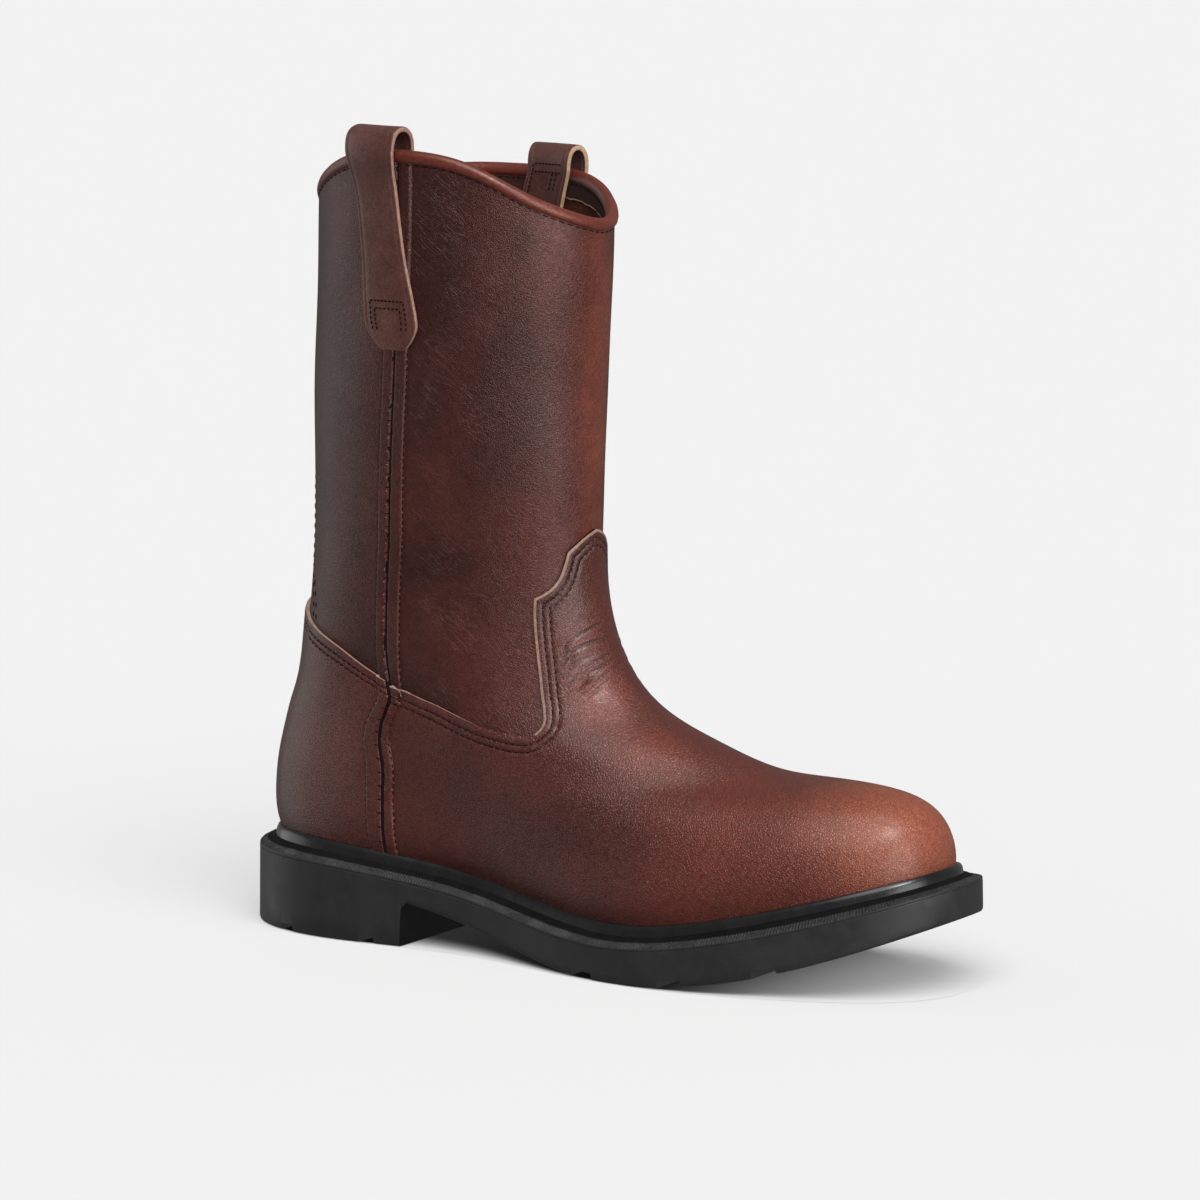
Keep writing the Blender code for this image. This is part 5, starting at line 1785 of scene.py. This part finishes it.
# The underside and the heel breast get the darker rubber, as painted shade.
for face in outsole.data.polygons:
    on_breast = face.normal.x > 0.5 and abs(face.center.x + ORIGIN[0] - HEEL_BREAST) < BREAST_REACH
    face.material_index = int(on_breast or face.normal.z < UNDERSIDE)
smooth(outsole, 32)
settle(outsole, "sole_rubber", "outsole")

# %% [markdown]
# The fill lamps cast no shadow, so they would light the floor under the arch and in the notches as well.
# A thin sheet on the floor, with the outline of the sole, gives that shade back: it has the floor's paint
# at its edge and is nearly black further in. The higher the sole stands above it, the softer its edge,
# and it fades to the toe.

# %% Shade under the sole
SHADE_COLOUR = (0.005, 0.005, 0.005, 1)
SHADE_ROWS = 120
SHADE_ACROSS = 60
SHADE_HEIGHT = 0.0002
SHADE_TOE_START = 0.110
SHADE_TOE_END = 0.010
SHADE_LOSS = 4.0
SHADE_EDGE = 0.001
SHADE_SOFT = 1.3

across = np.linspace(0, 1, SHADE_ACROSS)
shade_rows, shade = [], []
for x in np.linspace(heel_end + SHADE_EDGE, toe_end - SHADE_EDGE, SHADE_ROWS):
    left, right = sole_sides(x)
    y = left + (right - left) * across
    inward = np.minimum(np.minimum(y - left, right - y), min(x - heel_end, toe_end - x))
    shade_rows.append(np.column_stack([np.full_like(y, x), y, np.full_like(y, SHADE_HEIGHT)]) - ORIGIN)
    depth = (1 - SHADE_LOSS * clearance(x)) * smooth_step(SHADE_TOE_END, SHADE_TOE_START, toe_end - x)
    shade.append(depth * smooth_step(0.0, SHADE_EDGE + SHADE_SOFT * clearance(x), inward))
sole_shade = laid_grid("sole_shade", np.array(shade_rows), ring=False)
mark = sole_shade.data.attributes.new("shade", "FLOAT", "POINT")
mark.data.foreach_set("value", np.concatenate(shade).astype(np.float32))
shade_paint = floor_paint.copy()
shade_paint.name = "sole_shade_paint"
shade_tree = shade_paint.node_tree
shade_mask = put(shade_tree, "ShaderNodeAttribute", attribute_name="shade").outputs["Fac"]
shade_colour = mix_colour(shade_tree, shade_mask, FLOOR_COLOUR, SHADE_COLOUR)
shade_tree.links.new(shade_colour, shade_tree.nodes["Principled BSDF"].inputs["Base Color"])
dress(sole_shade, shade_paint)
sole_shade.visible_glossy = False
sole_shade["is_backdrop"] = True
print("shade under the sole:", len(sole_shade.data.polygons), "faces")

# %% [markdown]
# ## Closed seam line
# In the valley between the bands lies the folded edge of the leather, pulled tight by the closing thread.
# It is a thin dark cord that follows the seam from the welt to the strap: its dark finish is partly the
# closing thread and partly painted shade of the valley.

# %% Seam cords
CORD_HALF = 0.00055
CORD_DEPTH = 0.0009
CORD_STEP = 0.0010
CORD_PLACES = 220
FOOT_END = (7.05, 7.2)
SEAM_TURN = 0.22
SEAM_END = {"lateral": 10.62, "medial": 10.32}


def on_side(lean, turns):
    """Turns of the outer side, taken to the side of a strap."""
    return turns if lean.side < 0 else 1 - turns


for lean in LEANS:
    levels = even_levels(SEAM_TURN, 0.05, SEAM_END[lean.name], CORD_PLACES)
    foot = 1 - smooth_step(*FOOT_END, levels)
    depth = foot * (PANEL_LIFT - CORD_STEP) - CORD_DEPTH + unevenness(skin(seam_turn(levels, 0.0), levels))
    rows = []
    for angle in np.arange(8) * math.pi / 4:
        turns = on_side(lean, seam_turn(levels, CORD_HALF * math.cos(angle)))
        rows.append(offset(turns, levels, depth + CORD_HALF * math.sin(angle)))
    cord = laid_grid("seam_cord_" + lean.name, np.array(rows).transpose(1, 0, 2), ring=True)
    close_ends(cord)
    # The cord's dark finish is partly the closing thread and partly painted shade of the valley.
    dress(cord, waxed_thread)
    face_outward(cord)
    smooth(cord, 60)
    settle(cord, "shaft_leather", "side_seam_" + lean.name)

# %% [markdown]
# ## Stitches
# One stitch is a small rounded bar of thread. It is modelled once, from a sphere that is stretched and
# flattened, and its copies are laid along each row, sunk a little into the leather.

# %% One stitch
STITCH_SINK = 0.00004
STITCH_FLAT = 0.75

bpy.ops.object.select_all(action="DESELECT")
bpy.ops.mesh.primitive_uv_sphere_add(segments=6, ring_count=5, radius=0.5, rotation=(0, math.pi / 2, 0))
stitch = bpy.context.object
stitch.scale = (1.0, STITCH_FLAT, 1.0)
bpy.ops.object.transform_apply(location=True, rotation=True, scale=True)
stitch_points = np.array([tuple(point.co) for point in stitch.data.vertices])
stitch_faces = [tuple(face.vertices) for face in stitch.data.polygons]
bpy.data.objects.remove(stitch)
print("faces of one stitch:", len(stitch_faces))


def place_row(points, out, pitch, length, width):
    """Centres, directions and normals of the stitches along a line of points."""
    way = run_along(points)
    count = max(int(way[-1] / pitch), 1)
    at = (np.arange(count) + 0.5) * way[-1] / count
    pick = lambda rows, places: np.stack([np.interp(places, way, rows[:, k]) for k in range(3)], axis=1)
    ahead = unit(pick(points, at + pitch * 0.3) - pick(points, at - pitch * 0.3))
    up = unit(pick(out, at))
    return [(c, a, u, length, width) for c, a, u in zip(pick(points, at), ahead, up)]


def row_on(turns, levels, lift, thread):
    """A row of stitches along a line on the leather."""
    return place_row(offset(turns, levels, lift), normal(turns, levels), *thread)


def sew(name, stitches, sink=STITCH_SINK, finish=waxed_thread):
    """One object with all the stitches of a list."""
    points, faces = [], []
    for centre, ahead, up, length, width in stitches:
        across = np.cross(up, ahead)
        up = np.cross(ahead, across)
        start = len(points) * len(stitch_points)
        size = stitch_points * np.array([length, width, width])
        points.append(centre - up * sink + size[:, :1] * ahead + size[:, 1:2] * across + size[:, 2:] * up)
        faces += [tuple(start + n for n in face) for face in stitch_faces]
    made = mesh_object(name, np.concatenate(points), faces)
    dress(made, finish)
    face_outward(made)
    smooth(made, 80)
    settle(made, "strap_leather")


# %% Rows on the panels
PANEL_STITCH = (0.0027, 0.0021, 0.00072)
ROW_END = 0.0004

rows = []
for way in ROW_WAYS:
    turns, levels = inset_line(vamp_line_turns, vamp_line_levels, way)
    lift = panel_height(turns, levels) + edge_grooves(np.full(len(turns), way))
    rows += row_on(turns, levels, lift, PANEL_STITCH)
sew("stitches_vamp", rows)
rows = []
line_end = float(seam_turn(end_level, -ROW_END))
turns = np.linspace(-line_end, line_end, 400)
for way in ROW_WAYS:
    levels = counter_top(turns)
    levels = levels - way / np.linalg.norm(along_level(turns, levels), axis=-1)
    lift = panel_height(turns, levels) + edge_grooves(np.full(len(turns), way))
    rows += row_on(turns, levels, lift, PANEL_STITCH)
sew("stitches_counter", rows)

# %% Rows beside the side seams
VAMP_END = 7.10
ROW_LOW = 0.75
COUNTER_WAY = 0.004

counter_end = float(counter_top(seam_turn(COUNTER_LINE[-2].level, -COUNTER_WAY)))
rows = []
for lean in LEANS:
    for name, sign in (("back", -1), ("front", 1)):
        edge = counter_end if sign < 0 else VAMP_END
        top = SEAM_END[lean.name]
        for low, high, height_of in ((ROW_LOW, edge, panel_height), (edge, top, shaft_height)):
            levels = even_levels(SEAM_TURN, low, high, 300)
            turns = on_side(lean, seam_turn(levels, sign * seam_at(name, levels)))
            rows += row_on(turns, levels, height_of(turns, levels), PANEL_STITCH)
sew("stitches_side_seams", rows)

# %% Closing stitches of the side seams
Closing = namedtuple("Closing", "low high height pitch a b sink thick")
CLOSING = (
    Closing(0.8, 7.0, panel_height, 0.0054, -0.0021, 0.0003, 0.0009, 0.0011),
    Closing(7.3, 10.3, shaft_height, 0.0052, -0.0013, 0.0002, 0.0009, 0.0008),
    Closing(7.25, 10.3, shaft_height, 0.0052, -0.0013, -0.0009, 0.0001, 0.0006),
)
TICK_STRETCH = 1.15
# The closing_glints row is short pale ticks in the cut-edge finish, painted glints beside the closed line.
CLOSING_NAMES = ("closing_foot", "closing_shaft", "closing_glints")
for row, name, finish in zip(CLOSING, CLOSING_NAMES, (waxed_thread, waxed_thread, raw_edge)):
    ticks = []
    for lean in LEANS:
        levels = even_levels(SEAM_TURN, row.low, row.high, 300)
        way = run_along(skin(seam_turn(levels, 0.0), levels))
        levels = np.interp(np.arange(row.pitch / 2, way[-1], row.pitch), way, levels)
        a, b = (on_side(lean, seam_turn(levels, reach)) for reach in (row.a, row.b))
        first = offset(a, levels, row.height(a, levels))
        last = offset(b, levels, row.height(a, levels) - row.sink)
        for p, q, u in zip(first, last, normal(a, levels)):
            ticks.append(((p + q) / 2, unit(q - p), u, np.linalg.norm(q - p) * TICK_STRETCH, row.thick))
    sew("stitches_" + name, ticks, 0.0, finish)

# %% Rows at the collar
COLLAR_ROW = 0.0042
COLLAR_LEVEL = TOP - 0.12
COLLAR_STITCH = (0.0036, 0.0028, 0.0007)
FACING_STITCH = (0.0027, 0.0021, 0.0008)

loop = np.concatenate([np.arange(BINDING_COLUMNS), [0]])
collar_row = wall_top - COLLAR_ROW
collar_levels = np.full(BINDING_COLUMNS, COLLAR_LEVEL)
outside = shaft_point(ring_turns, collar_row, shaft_height(ring_turns, collar_levels))[loop]
inner_row = shaft_point(ring_turns, collar_row, np.full(BINDING_COLUMNS, -FACING_OUT - FACING_WALL))[loop]
out = normal(ring_turns, collar_levels)[loop]
sew("stitches_collar", place_row(outside, out, *COLLAR_STITCH) + place_row(inner_row, -out, *FACING_STITCH))

# %% Rows of the back stay
STAY_STITCH = (0.0037, 0.0024, 0.0008)
Stay = namedtuple("Stay", "turn level")
SHORT_STAY = (
    Stay(0.1133, 7.98),
    Stay(0.1117, 8.08),
    Stay(0.1075, 8.29),
    Stay(0.1008, 8.42),
    Stay(0.0958, 8.54),
)
LONG_STAY = (
    Stay(0.1033, 8.03),
    Stay(0.1000, 8.21),
    Stay(0.0958, 8.33),
    Stay(0.0917, 8.42),
    Stay(0.0850, 8.60),
    Stay(0.0760, 8.82),
    Stay(0.0720, 9.05),
    Stay(0.0690, 9.21),
    Stay(0.0560, 9.62),
    Stay(0.0300, 9.86),
    Stay(0.0, 9.92),
)
rows = []
for table in (SHORT_STAY, LONG_STAY):
    knots = np.arange(len(table))
    fine = np.linspace(0, len(table) - 1, 160)
    turns = spline(knots, column(table, "turn"), fine)
    levels = spline(knots, column(table, "level"), fine)
    for way_round in (turns, -turns):
        rows += row_on(way_round, levels, shaft_height(way_round, levels), STAY_STITCH)
sew("stitches_back_stay", rows)

# %% Rows on the straps
BAR_STITCH = (0.0017, 0.0014, 0.0009)
Bar = namedtuple("Bar", "rise_a across_a rise_b across_b")
OUTER_BARS = (
    Bar(-0.0672, -0.66, -0.0559, -0.66),
    Bar(-0.0559, -0.66, -0.0559, 0.66),
    Bar(-0.0559, 0.66, -0.0672, 0.66),
    Bar(-0.0672, -0.48, -0.0588, -0.48),
    Bar(-0.0588, -0.48, -0.0588, 0.48),
    Bar(-0.0588, 0.48, -0.0672, 0.48),
)
INNER_BARS = (
    Bar(0.0024, -0.66, 0.0024, 0.66),
    Bar(-0.0007, -0.66, -0.0007, 0.66),
    Bar(-0.0007, -0.24, -0.0080, -0.24),
    Bar(-0.0007, -0.45, -0.0080, -0.45),
    Bar(0.0024, 0.73, -0.0240, 0.73),
    Bar(-0.0240, -0.73, -0.0240, 0.73),
)


def leg_station(lean, rise, outer):
    """Station of a strap at a rise, on its outer or its inner leg."""
    at, rises = strap_frames[lean.name][:2]
    peak = int(np.argmax(rises))
    if outer:
        return np.interp(rise, rises[: peak + 1], at[: peak + 1])
    return np.interp(-rise, -rises[peak:], at[peak:])


rows = []
share = np.linspace(0, 1, 24)
for lean in LEANS:
    for row in OUTER_BARS + INNER_BARS:
        rise = row.rise_a + (row.rise_b - row.rise_a) * share
        station = leg_station(lean, rise, row in OUTER_BARS)
        across = row.across_a + (row.across_b - row.across_a) * share
        line = strap_place(lean, station, across, STRAP / 2)
        under = strap_place(lean, station, across, 0.0)
        rows += place_row(line, line - under, *BAR_STITCH)
sew("stitches_straps", rows, 0.0)

# %% Sizes and finish
low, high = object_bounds()
print("visual size in mm:", [round(1000 * side, 1) for side in high - low])
